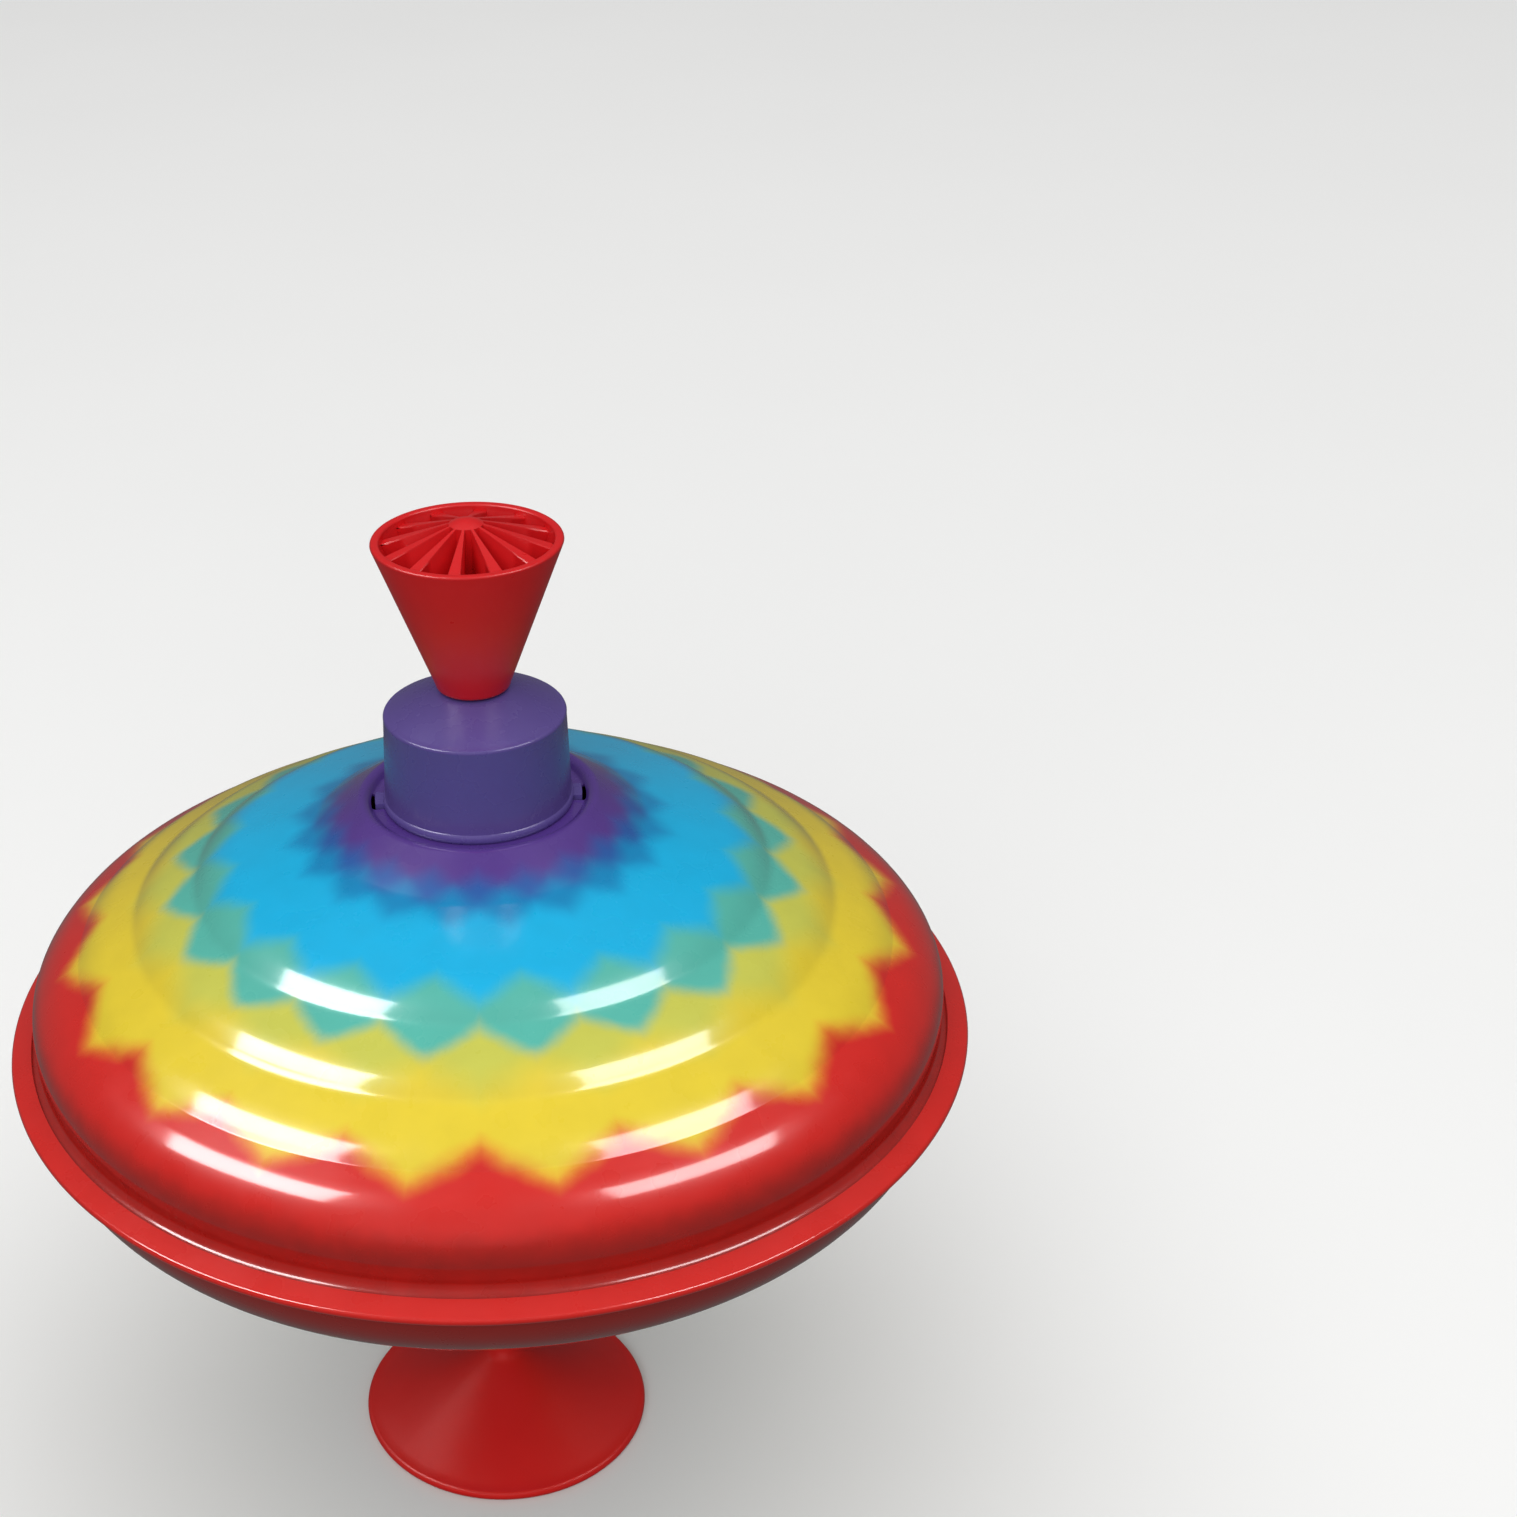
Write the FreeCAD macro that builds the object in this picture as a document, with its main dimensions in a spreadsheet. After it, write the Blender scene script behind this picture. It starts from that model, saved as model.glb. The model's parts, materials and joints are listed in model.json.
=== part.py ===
import FreeCAD, Part
import math
import operator
import os
import types
import Sketcher

# A push-down humming top. Two pressed tin shells are joined at a folded rim. A twisted rod runs down the
# middle, and a toothed nut under the collar turns its push into spin. The top spins on a pin in a loose foot.
# The origin is on the floor under the middle of the foot, and +Z is up.
# Lengths are in millimetres and angles in degrees. A fall is how far a section has turned down from level.

SIZES = {
    # sheet, walls and fits
    "tin_thickness": 0.45,
    "moulded_wall": 1.6,
    "press_gap": 0.05,
    "running_gap": 0.05,
    "body_gap": 0.35,
    # foot, its pin and clip
    "foot_radius": 29.1,
    "foot_edge": 2.0,
    "foot_ring_width": 1.7,
    "foot_ring_depth": 1.0,
    "foot_shoulder_height": 15.3,
    "foot_hollow_radius": 130.0,
    "foot_web": 2.9,
    "foot_boss_radius": 4.5,
    "foot_boss_base": 1.6,
    "foot_neck_radius": 3.0,
    "foot_neck_round": 4.0,
    "foot_height": 20.4,
    "pin_radius": 1.25,
    "pin_base": 5.0,
    "clip_depth": 0.35,
    "clip_thickness": 0.8,
    "clip_radius": 2.9,
    "clip_arc": 300.0,
    "clip_gap": 0.2,
    # stem under the shells
    "pivot_space": 1.6,
    "stem_base_radius": 7.8,
    "stem_base_round": 1.2,
    "stem_top_radius": 13.3,
    "stem_height": 19.8,
    "stem_floor": 2.5,
    "stem_boss_radius": 5.2,
    "stem_boss_drop": 1.8,
    "stem_step": 0.4,
    "spigot_height": 1.5,
    "spigot_wall": 1.4,
    "spigot_gap": 0.2,
    "bush_radius": 3.2,
    "bush_height": 9.0,
    "bush_seat": 1.0,
    "clip_room": 0.4,
    "pad_rise": 4.1,
    "pad_thickness": 2.0,
    "chamber_top_radius": 18.2,
    "chamber_height": 16.8,
    "chamber_ring": 3.0,
    "chamber_ledge_radius": 11.6,
    "chamber_slot_width": 2.0,
    "chamber_slot_height": 9.5,
    "chamber_slot_rise": 3.8,
    "hook_thickness": 1.2,
    "hook_reach": 0.9,
    "hook_height": 2.4,
    "hook_arc": 30.0,
    # reeds and centre tube
    "plate_radius": 13.0,
    "plate_thickness": 1.2,
    "plate_inset": 0.4,
    "reed_distance": 9.8,
    "reed_width": 1.9,
    "reed_length": 8.0,
    "reed_root": 1.6,
    "reed_thickness": 0.2,
    "reed_side_gap": 0.15,
    "rivet_radius": 0.5,
    "rivet_head_radius": 0.9,
    "rivet_head": 0.4,
    "tube_radius": 4.4,
    "tube_wall": 0.5,
    "ring_radius": 5.4,
    "ring_height": 5.0,
    "ring_flange_radius": 6.5,
    "ring_flange": 1.0,
    # lower shell
    "rim_radius": 90.0,
    "hem_fall": 20.0,
    "hem_run": 3.5,
    "hem_return": 1.2,
    "hem_bend": 0.9,
    "wall_fall": 94.0,
    "wall_run": 2.2,
    "shoulder_radius": 14.0,
    "bowl_fall": 156.0,
    "seat_bend": 3.0,
    "seat_run": 3.0,
    "seat_hole_radius": 14.8,
    "vent_width": 2.0,
    "vent_height": 8.0,
    "vent_drop": 2.6,
    "vent_pitch": 9.3,
    # upper shell
    "top_hole_radius": 9.2,
    "shelf_run": 9.7,
    "shelf_bend": 0.8,
    "shelf_rise": -50.0,
    "shelf_flank": 0.7,
    "crest_radius": 1.6,
    "crest_fall": 34.0,
    "crest_run": 8.7,
    "cove_radius": 6.0,
    "dome_fall": 16.3,
    "step_fall": 45.0,
    "step_bend": 5.7,
    "inner_step_radius": 17.0,
    "middle_step_radius": 16.0,
    "middle_fall": 22.0,
    "middle_run": 5.0,
    "outer_fall": 24.0,
    "outer_run": 4.5,
    "outer_step_radius": 18.0,
    "outer_step_fall": 42.0,
    "outer_step_run": 0.9,
    "crease_radius": 1.5,
    "crease_fall": 28.0,
    "crease_run": 2.9,
    "band_radius": 16.0,
    "band_fall": 55.0,
    "band_edge_radius": 7.5,
    "undercut_fall": 100.0,
    "undercut_run": 2.89,
    "flange_bend": 2.0,
    "flange_run": 2.76,
    "flange_gap": 0.075,
    "flange_end_gap": 0.95,
    # collar, its tongues and the rod guide
    "collar_foot_radius": 17.0,
    "collar_bead": 0.4,
    "collar_bead_height": 1.8,
    "collar_top_radius": 16.4,
    "collar_wall_height": 17.9,
    "collar_edge_round": 0.6,
    "roof_rise": 4.6,
    "roof_curve_radius": 60.0,
    "roof_flat_radius": 6.8,
    "roof_centre_wall": 1.84,
    "tongue_inner_radius": 17.25,
    "tongue_thickness": 1.6,
    "tongue_arc": 14.0,
    "tongue_height": 0.8,
    "tongue_hook": 0.85,
    "tongue_hook_reach": 1.4,
    "slot_width": 2.4,
    "slot_arc": 17.0,
    "guide_radius": 5.0,
    "guide_clearance": 0.35,
    "guide_height": 7.3,
    "guide_flange_radius": 6.6,
    "guide_flange": 1.0,
    # clutch crown, washer, nut and plate
    "crown_lip": 0.6,
    "crown_lip_reach": 0.7,
    "washer_thickness": 0.8,
    "washer_radius": 13.0,
    "crown_flange_radius": 13.2,
    "crown_flange": 1.4,
    "crown_radius": 9.4,
    "crown_height": 5.9,
    "crown_ledge": 1.7,
    "tooth_height": 1.2,
    "tooth_width": 3.4,
    "tooth_inner_radius": 5.4,
    "tooth_length": 3.4,
    "tooth_gap": 0.5,
    "nut_clearance": 0.6,
    "nut_radius": 9.0,
    "nut_height": 3.0,
    "nut_plate_radius": 7.5,
    "nut_plate_thickness": 1.2,
    "slot_clearance": 0.15,
    # knob and rod
    "knob_base_radius": 6.4,
    "knob_base_round": 0.8,
    "knob_clearance": 0.15,
    "knob_bore_depth": 10.4,
    "knob_floor": 1.5,
    "knob_radius": 16.8,
    "knob_cone_height": 27.8,
    "knob_lip": 0.5,
    "knob_wall": 1.6,
    "hub_radius": 3.0,
    "hub_dome": 0.9,
    "hub_rise": 31.9,
    "rib_thickness_angle": 9.5,
    "rib_turn": 20.0,
    "rib_drop": 0.7,
    "rod_width": 4.6,
    "rod_thickness": 1.3,
    "rod_lead": 33.0,
    "rod_end": 0.6,
    "rod_pin_radius": 0.9,
    "rod_pin_rise": 5.4,
    "rod_pin_inset": 0.4,
    "stop_radius": 3.5,
    "stop_height": 2.0,
    "knob_stroke": 75.0,
}
CHAMBER_SLOTS = 7
HOOKS = 4
REEDS = 6
VENTS_IN_A_GROUP = 6
TONGUES = 2
TEETH = 6
KNOB_RIBS = 12
FULL_TURN = 360.0

# how close two numbers lie that mean the same place, and the least that a cut removes, in cubic millimetres
SAME_PLACE = 1e-4
LEAST_CUT = 0.01
VOLUME_TOLERANCE = 0.01

os.makedirs("parts", exist_ok=True)
doc = FreeCAD.newDocument("humming_top")
sheet = doc.addObject("Spreadsheet::Sheet", "Sizes")
for row, (alias, dimension) in enumerate(SIZES.items(), start=1):
    sheet.set(f"A{row}", alias)
    sheet.set(f"B{row}", str(dimension))
    sheet.setAlias(f"B{row}", alias)
doc.recompute()

OPERATIONS = {"+": operator.add, "-": operator.sub, "*": operator.mul, "/": operator.truediv}


class Size:
    """A dimension that knows its number and how the sheet works it out."""

    def __init__(self, number, text):
        self.number = number
        self.text = text

    def __add__(self, other):
        return join(self, "+", other)

    def __radd__(self, other):
        return join(other, "+", self)

    def __sub__(self, other):
        return join(self, "-", other)

    def __rsub__(self, other):
        return join(other, "-", self)

    def __mul__(self, other):
        return join(self, "*", other)

    def __rmul__(self, other):
        return join(other, "*", self)

    def __truediv__(self, other):
        return join(self, "/", other)

    def __neg__(self):
        return join(-1.0, "*", self)


def as_size(value):
    """A plain number as a Size, and a Size as it is."""
    return value if isinstance(value, Size) else Size(float(value), f"({float(value)})")


def join(left, sign, right):
    """Two sizes joined by + - * or /, in number and in the sheet's words."""
    left, right = as_size(left), as_size(right)
    return Size(OPERATIONS[sign](left.number, right.number), f"({left.text} {sign} {right.text})")


def sine(angle):
    angle = as_size(angle)
    return Size(math.sin(math.radians(angle.number)), f"sin({angle.text})")


def cosine(angle):
    angle = as_size(angle)
    return Size(math.cos(math.radians(angle.number)), f"cos({angle.text})")


size = types.SimpleNamespace(**{name: Size(value, f"Sizes.{name}") for name, value in SIZES.items()})
ZERO = as_size(0.0)
levels = doc.addObject("App::VarSet", "Levels")


def level(name, value):
    """Name a worked-out dimension, so that other sizes can be given from it."""
    levels.addProperty("App::PropertyFloat", name)
    levels.setExpression(name, value.text)
    return Size(value.number, f"Levels.{name}")


# ---- building blocks ----

def bind(item, name, value):
    """Tie one property of an object to the sheet."""
    item.setExpression(name, as_size(value).text)


def origin_part(body, role):
    """A plane or axis of the body's own origin."""
    return next(part for part in body.Origin.OriginFeatures if part.Role == role)


def new_body(name):
    body = doc.addObject("PartDesign::Body", name)
    body.Label = name
    return body


def new_sketch(body, plane, turn=None, offset=None):
    """A sketch on an origin plane, turned about Z and moved out along the plane's normal."""
    sketch = body.newObject("Sketcher::SketchObject", f"{body.Name}_sketch")
    sketch.AttachmentSupport = (origin_part(body, plane), "")
    sketch.MapMode = "FlatFace"
    turned = FreeCAD.Rotation(FreeCAD.Vector(0, 1, 0), as_size(turn or 0.0).number)
    moved = turned.multVec(FreeCAD.Vector(0, 0, as_size(offset or 0.0).number))
    sketch.AttachmentOffset = FreeCAD.Placement(moved, turned)
    if turn is not None:
        bind(sketch, "AttachmentOffset.Rotation.Angle", turn)
    if offset is not None:
        bind(sketch, "AttachmentOffset.Base.z", offset)
    return sketch


def arc_between(start, end, radius):
    """The short arc from start to end, anticlockwise for a positive radius."""
    chord = end - start
    left = FreeCAD.Vector(-chord.y, chord.x, 0).normalize()
    lean = math.sqrt(radius * radius - chord.Length * chord.Length / 4)
    centre = (start + end) / 2 + left * math.copysign(lean, radius)
    first, last = (start, end) if radius > 0 else (end, start)
    first_angle = math.atan2(first.y - centre.y, first.x - centre.x)
    last_angle = math.atan2(last.y - centre.y, last.x - centre.x)
    circle = Part.Circle(centre, FreeCAD.Vector(0, 0, 1), abs(radius))
    return Part.ArcOfCircle(circle, first_angle, last_angle)


def constrain(sketch, kind, *where, value=None):
    """Add a constraint, and tie its value to the sheet."""
    if value is None:
        sketch.addConstraint(Sketcher.Constraint(kind, *where))
        return
    index = sketch.addConstraint(Sketcher.Constraint(kind, *where, value.number))
    sketch.setExpression(f"Constraints[{index}]", value.text)


def pin_point(sketch, point, across, up, origin=(-1, 1)):
    """Fix a point at its distances across and up from another point."""
    if abs(across.number) > SAME_PLACE:
        constrain(sketch, "DistanceX", *origin, *point, value=across)
    elif origin == (-1, 1):
        constrain(sketch, "PointOnObject", *point, -2)
    else:
        constrain(sketch, "Vertical", *origin, *point)
    if abs(up.number) > SAME_PLACE:
        constrain(sketch, "DistanceY", *origin, *point, value=up)
    elif origin == (-1, 1):
        constrain(sketch, "PointOnObject", *point, -1)
    else:
        constrain(sketch, "Horizontal", *origin, *point)


def draw(sketch, corners, chained=False):
    """Draw a closed outline.

    A corner is (across, up), or (across, up, radius) where an arc arrives at it. In a chained outline every
    corner after the first is a step from the one before.
    """
    corners = [tuple(as_size(value) for value in corner) for corner in corners]
    spots = []
    for corner in corners:
        spot = FreeCAD.Vector(corner[0].number, corner[1].number, 0)
        spots.append(spots[-1] + spot if chained and spots else spot)
    starts, ends = [], []
    for index, corner in enumerate(corners):
        if len(corner) == 3:
            edge = sketch.addGeometry(arc_between(spots[index - 1], spots[index], corner[2].number), False)
            forwards = corner[2].number > 0
        else:
            edge = sketch.addGeometry(Part.LineSegment(spots[index - 1], spots[index]), False)
            forwards = True
        starts.append((edge, 1 if forwards else 2))
        ends.append((edge, 2 if forwards else 1))
    for index, corner in enumerate(corners):
        constrain(sketch, "Coincident", *ends[index - 1], *starts[index])
        if chained and index > 0:
            pin_point(sketch, ends[index], corner[0], corner[1], ends[index - 1])
        else:
            pin_point(sketch, ends[index], corner[0], corner[1])
        if len(corner) == 3:
            radius = Size(abs(corner[2].number), f"abs({corner[2].text})")
            constrain(sketch, "Radius", ends[index][0], value=radius)


def revolve(body, corners, kind="Revolution", arc=None, turn=None, chained=False):
    """Turn an outline about Z, all the way or through an arc centred on its own plane."""
    sketch = new_sketch(body, "XZ_Plane", turn)
    draw(sketch, corners, chained)
    feature = body.newObject(f"PartDesign::{kind}", f"{body.Name}_{kind.lower()}")
    feature.Profile = sketch
    feature.ReferenceAxis = (sketch, ["V_Axis"])
    feature.Angle = FULL_TURN
    if arc is not None:
        feature.Midplane = True
        bind(feature, "Angle", arc)
    return feature


def turned(name, corners, chained=False):
    """A body turned from one outline."""
    body = new_body(name)
    revolve(body, corners, chained=chained)
    return body


def around(body, feature, count, sweep=FULL_TURN):
    """Repeat a feature about Z."""
    pattern = body.newObject("PartDesign::PolarPattern", f"{body.Name}_pattern")
    pattern.Originals = [feature]
    pattern.Axis = (origin_part(body, "Z_Axis"), [""])
    pattern.Occurrences = count
    bind(pattern, "Angle", sweep)
    body.Tip = pattern
    return pattern


def cut(body, sketch, reach, both_ways):
    """Cut a sketch out along its plane's normal, and make sure that it removes something."""
    doc.recompute()
    volume_before = body.Shape.Volume
    pocket = body.newObject("PartDesign::Pocket", f"{body.Name}_pocket")
    pocket.Profile = sketch
    pocket.Midplane = both_ways
    pocket.Reversed = not both_ways
    bind(pocket, "Length", reach * 2 if both_ways else reach)
    doc.recompute()
    if body.Shape.Volume > volume_before - LEAST_CUT:
        raise ValueError(f"a pocket in {body.Name} removed nothing")
    return pocket


def cut_outline(body, corners, plane, reach, both_ways=False, turn=None):
    """Cut an outline drawn on an origin plane."""
    sketch = new_sketch(body, plane, turn)
    draw(sketch, corners)
    return cut(body, sketch, reach, both_ways)


def cut_hole(body, across, up, radius, plane, reach, both_ways=False):
    """Drill a round hole square to an origin plane."""
    sketch = new_sketch(body, plane)
    centre = FreeCAD.Vector(as_size(across).number, as_size(up).number, 0)
    ring = sketch.addGeometry(Part.Circle(centre, FreeCAD.Vector(0, 0, 1), radius.number), False)
    pin_point(sketch, (ring, 3), as_size(across), as_size(up))
    constrain(sketch, "Radius", ring, value=radius)
    return cut(body, sketch, reach, both_ways)


def rounded(body, radius, *circles):
    """Fillet the circular edges that lie at the given radii and heights."""
    doc.recompute()
    base = body.Tip
    places = [(as_size(across).number, as_size(up).number) for across, up in circles]
    names = []
    for index, edge in enumerate(base.Shape.Edges, start=1):
        if edge.Degenerated or not isinstance(edge.Curve, Part.Circle):
            continue
        ring = edge.Curve
        if any(math.hypot(ring.Radius - across, ring.Center.z - up) < SAME_PLACE for across, up in places):
            names.append(f"Edge{index}")
    if len(names) < len(places):
        raise ValueError(f"{body.Name} has {len(names)} of {len(places)} edges to round")
    fillet = body.newObject("PartDesign::Fillet", f"{body.Name}_fillet")
    fillet.Base = (base, names)
    bind(fillet, "Radius", radius)
    return fillet


# ---- sections of pressed sheet ----

def trace(fall, moves, inset=ZERO):
    """Steps along a sheet's section: (run,) goes straight on, and (radius, fall) bends to a new fall.

    inset moves the line inwards, square to itself, to give the sheet's other face.
    """
    steps = []
    for move in moves:
        if len(move) == 1:
            steps.append((move[0] * cosine(fall), -(move[0] * sine(fall))))
            continue
        radius, target = move
        turn = as_size(target) - fall
        outward = 1.0 if turn.number > 0 else -1.0
        radius = radius - inset * outward
        pieces = 2 if abs(turn.number) > 90 else 1
        for piece in range(1, pieces + 1):
            new_fall = fall + turn / pieces
            across = radius * outward * (sine(new_fall) - sine(fall))
            up = radius * outward * (cosine(new_fall) - cosine(fall))
            steps.append((across, up, -(radius * outward)))
            fall = new_fall
    return steps, fall


def total(steps, axis):
    """How far a row of steps goes, across (0) or up (1)."""
    result = ZERO
    for step in steps:
        result = result + step[axis]
    return result


def sheet_outline(start, fall, moves, thickness):
    """The closed section of a pressed sheet: out along one face, and back along the other."""
    face, last_fall = trace(fall, moves)
    back, _ = trace(fall, moves, thickness)
    outline = [start] + face
    outline.append((-(thickness * sine(last_fall)), -(thickness * cosine(last_fall))))
    for step in reversed(back):
        outline.append((-step[0], -step[1]) + ((-step[2],) if len(step) == 3 else ()))
    return outline


# ---- heights, stacked from the floor ----

stem_base = level("stem_base", size.foot_height + size.pivot_space)
chamber_base = level("chamber_base", stem_base + size.stem_height)
seat = level("seat", chamber_base + size.chamber_height)
plate_base = level("plate_base", seat - size.plate_thickness - size.plate_inset)
plate_top = plate_base + size.plate_thickness
bush_base = stem_base + size.bush_seat
bush_top = level("bush_top", bush_base + size.bush_height)
clip_base = level("clip_base", bush_top + size.body_gap + size.clip_gap)
pad_base = level("pad_base", bush_top + size.pad_rise)
pin_tip = pad_base - size.running_gap * 2

# lower shell: from the start of the hem round the bead, down the wall and the bowl to the seat
bead_radius = level("bead_radius", size.tin_thickness + size.tin_thickness / 2 + size.flange_gap)
hem_start_radius = level("hem_start_radius", size.rim_radius - bead_radius
                         + bead_radius * sine(size.hem_fall) - size.hem_run * cosine(size.hem_fall))
LEVEL_BACK = 180.0


def lower_moves(bowl_run):
    """The lower shell's section, with the straight bowl as long as given."""
    return [
        (size.hem_run,),
        (bead_radius, size.hem_fall + LEVEL_BACK),
        (size.hem_return,),
        (size.hem_bend, size.wall_fall),
        (size.wall_run,),
        (size.shoulder_radius, size.bowl_fall),
        (bowl_run,),
        (size.seat_bend, LEVEL_BACK),
        (size.seat_run,),
    ]


reach_without_bowl = total(trace(size.hem_fall, lower_moves(ZERO))[0], 0)
bowl_run = level("bowl_run", (size.seat_hole_radius - hem_start_radius - reach_without_bowl)
                 / cosine(size.bowl_fall))
lower_path = lower_moves(bowl_run)
hem_start_height = level("hem_start_height", seat - total(trace(size.hem_fall, lower_path)[0], 1))

# upper shell: from its hole over the shelf, the crest and the stepped dome to the flange inside the hem
flange_depth = size.tin_thickness + size.flange_gap
flange_run_out = size.hem_run - size.flange_end_gap
flange_end_radius = (hem_start_radius + flange_run_out * cosine(size.hem_fall)
                     - flange_depth * sine(size.hem_fall))
flange_end_height = (hem_start_height - flange_run_out * sine(size.hem_fall)
                     - flange_depth * cosine(size.hem_fall))


def upper_moves(dome_run):
    """The upper shell's section, with the plain part of the dome as long as given."""
    return [
        (size.shelf_run,),
        (size.shelf_bend, size.shelf_rise),
        (size.shelf_flank,),
        (size.crest_radius, size.crest_fall),
        (size.crest_run,),
        (size.cove_radius, size.dome_fall),
        (dome_run,),
        (size.inner_step_radius, size.step_fall),
        (size.step_bend, size.middle_fall),
        (size.middle_run,),
        (size.middle_step_radius, size.step_fall),
        (size.step_bend, size.outer_fall),
        (size.outer_run,),
        (size.outer_step_radius, size.outer_step_fall),
        (size.outer_step_run,),
        (size.crease_radius, size.crease_fall),
        (size.crease_run,),
        (size.band_radius, size.band_fall),
        (size.band_edge_radius, size.undercut_fall),
        (size.undercut_run,),
        (size.flange_bend, size.hem_fall),
        (size.flange_run,),
    ]


reach_without_dome = total(trace(ZERO, upper_moves(ZERO))[0], 0)
dome_run = level("dome_run", (flange_end_radius - size.top_hole_radius - reach_without_dome)
                 / cosine(size.dome_fall))
upper_path = upper_moves(dome_run)
shelf = level("shelf", flange_end_height - total(trace(ZERO, upper_path)[0], 1))
shelf_underside = shelf - size.tin_thickness

# collar, clutch and knob
collar_wall_top = level("collar_wall_top", shelf + size.collar_wall_height)
roof_top = level("roof_top", collar_wall_top + size.roof_rise)
roof_underside_inner = roof_top - size.roof_centre_wall
roof_underside_outer = collar_wall_top - size.moulded_wall
crown_ledge = shelf + size.crown_ledge
crown_top = level("crown_top", shelf + size.crown_height)
nut_base = level("nut_base", crown_top + size.tooth_height * 2 + size.tooth_gap)
nut_top = nut_base + size.nut_height
knob_base = level("knob_base", roof_top + size.body_gap)
knob_top = level("knob_top", knob_base + size.knob_cone_height)
knob_floor_height = knob_base + size.knob_bore_depth + size.knob_floor
hub_top = level("hub_top", knob_base + size.hub_rise)
rod_top = knob_base + size.knob_bore_depth
guide_bore = size.rod_width / 2 + size.guide_clearance
nut_bore = size.rod_width / 2 + size.nut_clearance
knob_bore = size.rod_width / 2 + size.knob_clearance
rod_pin_height = level("rod_pin_height", knob_base + size.rod_pin_rise)
stop_top = level("stop_top", crown_ledge - size.body_gap - size.knob_stroke)
stop_base = stop_top - size.stop_height
rod_base = stop_base - size.rod_end
parts = {}


# ---- foot ----

def make_foot_disc():
    """The loose foot: a hollow cone with a standing ring, and a neck that holds the pin."""
    half_edge = size.foot_edge / 2
    rim = size.foot_radius - half_edge
    ring_inner = rim - size.foot_ring_width
    body = turned("foot_disc", [
        (ring_inner, 0),
        (rim, 0),
        (size.foot_radius, half_edge, half_edge),
        (rim, size.foot_edge, half_edge),
        (size.foot_neck_radius, size.foot_shoulder_height, -size.foot_hollow_radius),
        (size.foot_neck_radius, size.foot_height),
        (size.pin_radius, size.foot_height),
        (size.pin_radius, size.pin_base),
        (0, size.pin_base),
        (0, size.foot_boss_base),
        (size.foot_boss_radius, size.foot_boss_base),
        (size.foot_boss_radius, size.foot_shoulder_height - size.foot_web),
        (ring_inner, size.foot_ring_depth),
    ])
    rounded(body, size.foot_neck_round, (size.foot_neck_radius, size.foot_shoulder_height))
    return body


def make_pivot_pin():
    """A steel pin with a ball tip, and a groove for the clip."""
    groove = size.pin_radius - size.clip_depth
    tip_start = pin_tip - size.pin_radius
    return turned("pivot_pin", [
        (0, size.pin_base),
        (size.pin_radius, size.pin_base),
        (size.pin_radius, clip_base),
        (groove, clip_base),
        (groove, clip_base + size.clip_thickness),
        (size.pin_radius, clip_base + size.clip_thickness),
        (size.pin_radius, tip_start),
        (0, pin_tip, size.pin_radius),
    ])


def make_pin_clip():
    """An open ring in the pin's groove, which keeps the foot on."""
    groove = size.pin_radius - size.clip_depth
    body = new_body("pin_clip")
    revolve(body, [
        (groove, clip_base),
        (size.clip_radius, clip_base),
        (size.clip_radius, clip_base + size.clip_thickness),
        (groove, clip_base + size.clip_thickness),
    ], arc=size.clip_arc)
    return body


# ---- stem ----

def make_stem_cone():
    """The lower half of the stem: a cone with a boss inside for the bush and the pad."""
    clip_cavity = size.bush_radius + size.clip_room
    slope = (size.stem_top_radius - size.stem_base_radius) / size.stem_height
    spigot_seat = chamber_base - size.spigot_height - size.spigot_gap
    floor_top = stem_base + size.stem_floor
    socket = size.stem_top_radius - size.moulded_wall
    inner_top = size.stem_top_radius - size.moulded_wall - slope * (chamber_base - spigot_seat)
    inner_base = size.stem_base_radius + slope * size.stem_floor - size.moulded_wall
    pin_hole = size.pin_radius + size.body_gap * 2
    body = turned("stem_cone", [
        (pin_hole, stem_base),
        (size.stem_base_radius, stem_base),
        (size.stem_top_radius, chamber_base),
        (socket, chamber_base),
        (socket, spigot_seat),
        (inner_top, spigot_seat),
        (inner_base, floor_top),
        (size.stem_boss_radius, floor_top),
        (size.stem_boss_radius, chamber_base - size.stem_boss_drop),
        (clip_cavity, chamber_base - size.stem_boss_drop),
        (clip_cavity, bush_top),
        (size.bush_radius, bush_top),
        (size.bush_radius, bush_base),
        (pin_hole, bush_base),
    ])
    rounded(body, size.stem_base_round, (size.stem_base_radius, stem_base))
    return body


def make_pivot_bush():
    """The bush that turns on the pin."""
    bore = size.pin_radius + size.running_gap
    return turned("pivot_bush", [
        (bore, bush_base),
        (size.bush_radius, bush_base),
        (size.bush_radius, bush_top),
        (bore, bush_top),
    ])


def make_thrust_pad():
    """The hard disc that rests on the pin's tip."""
    radius = size.bush_radius + size.clip_room
    return turned("thrust_pad", [
        (0, pad_base),
        (radius, pad_base),
        (radius, pad_base + size.pad_thickness),
        (0, pad_base + size.pad_thickness),
    ])


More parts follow.
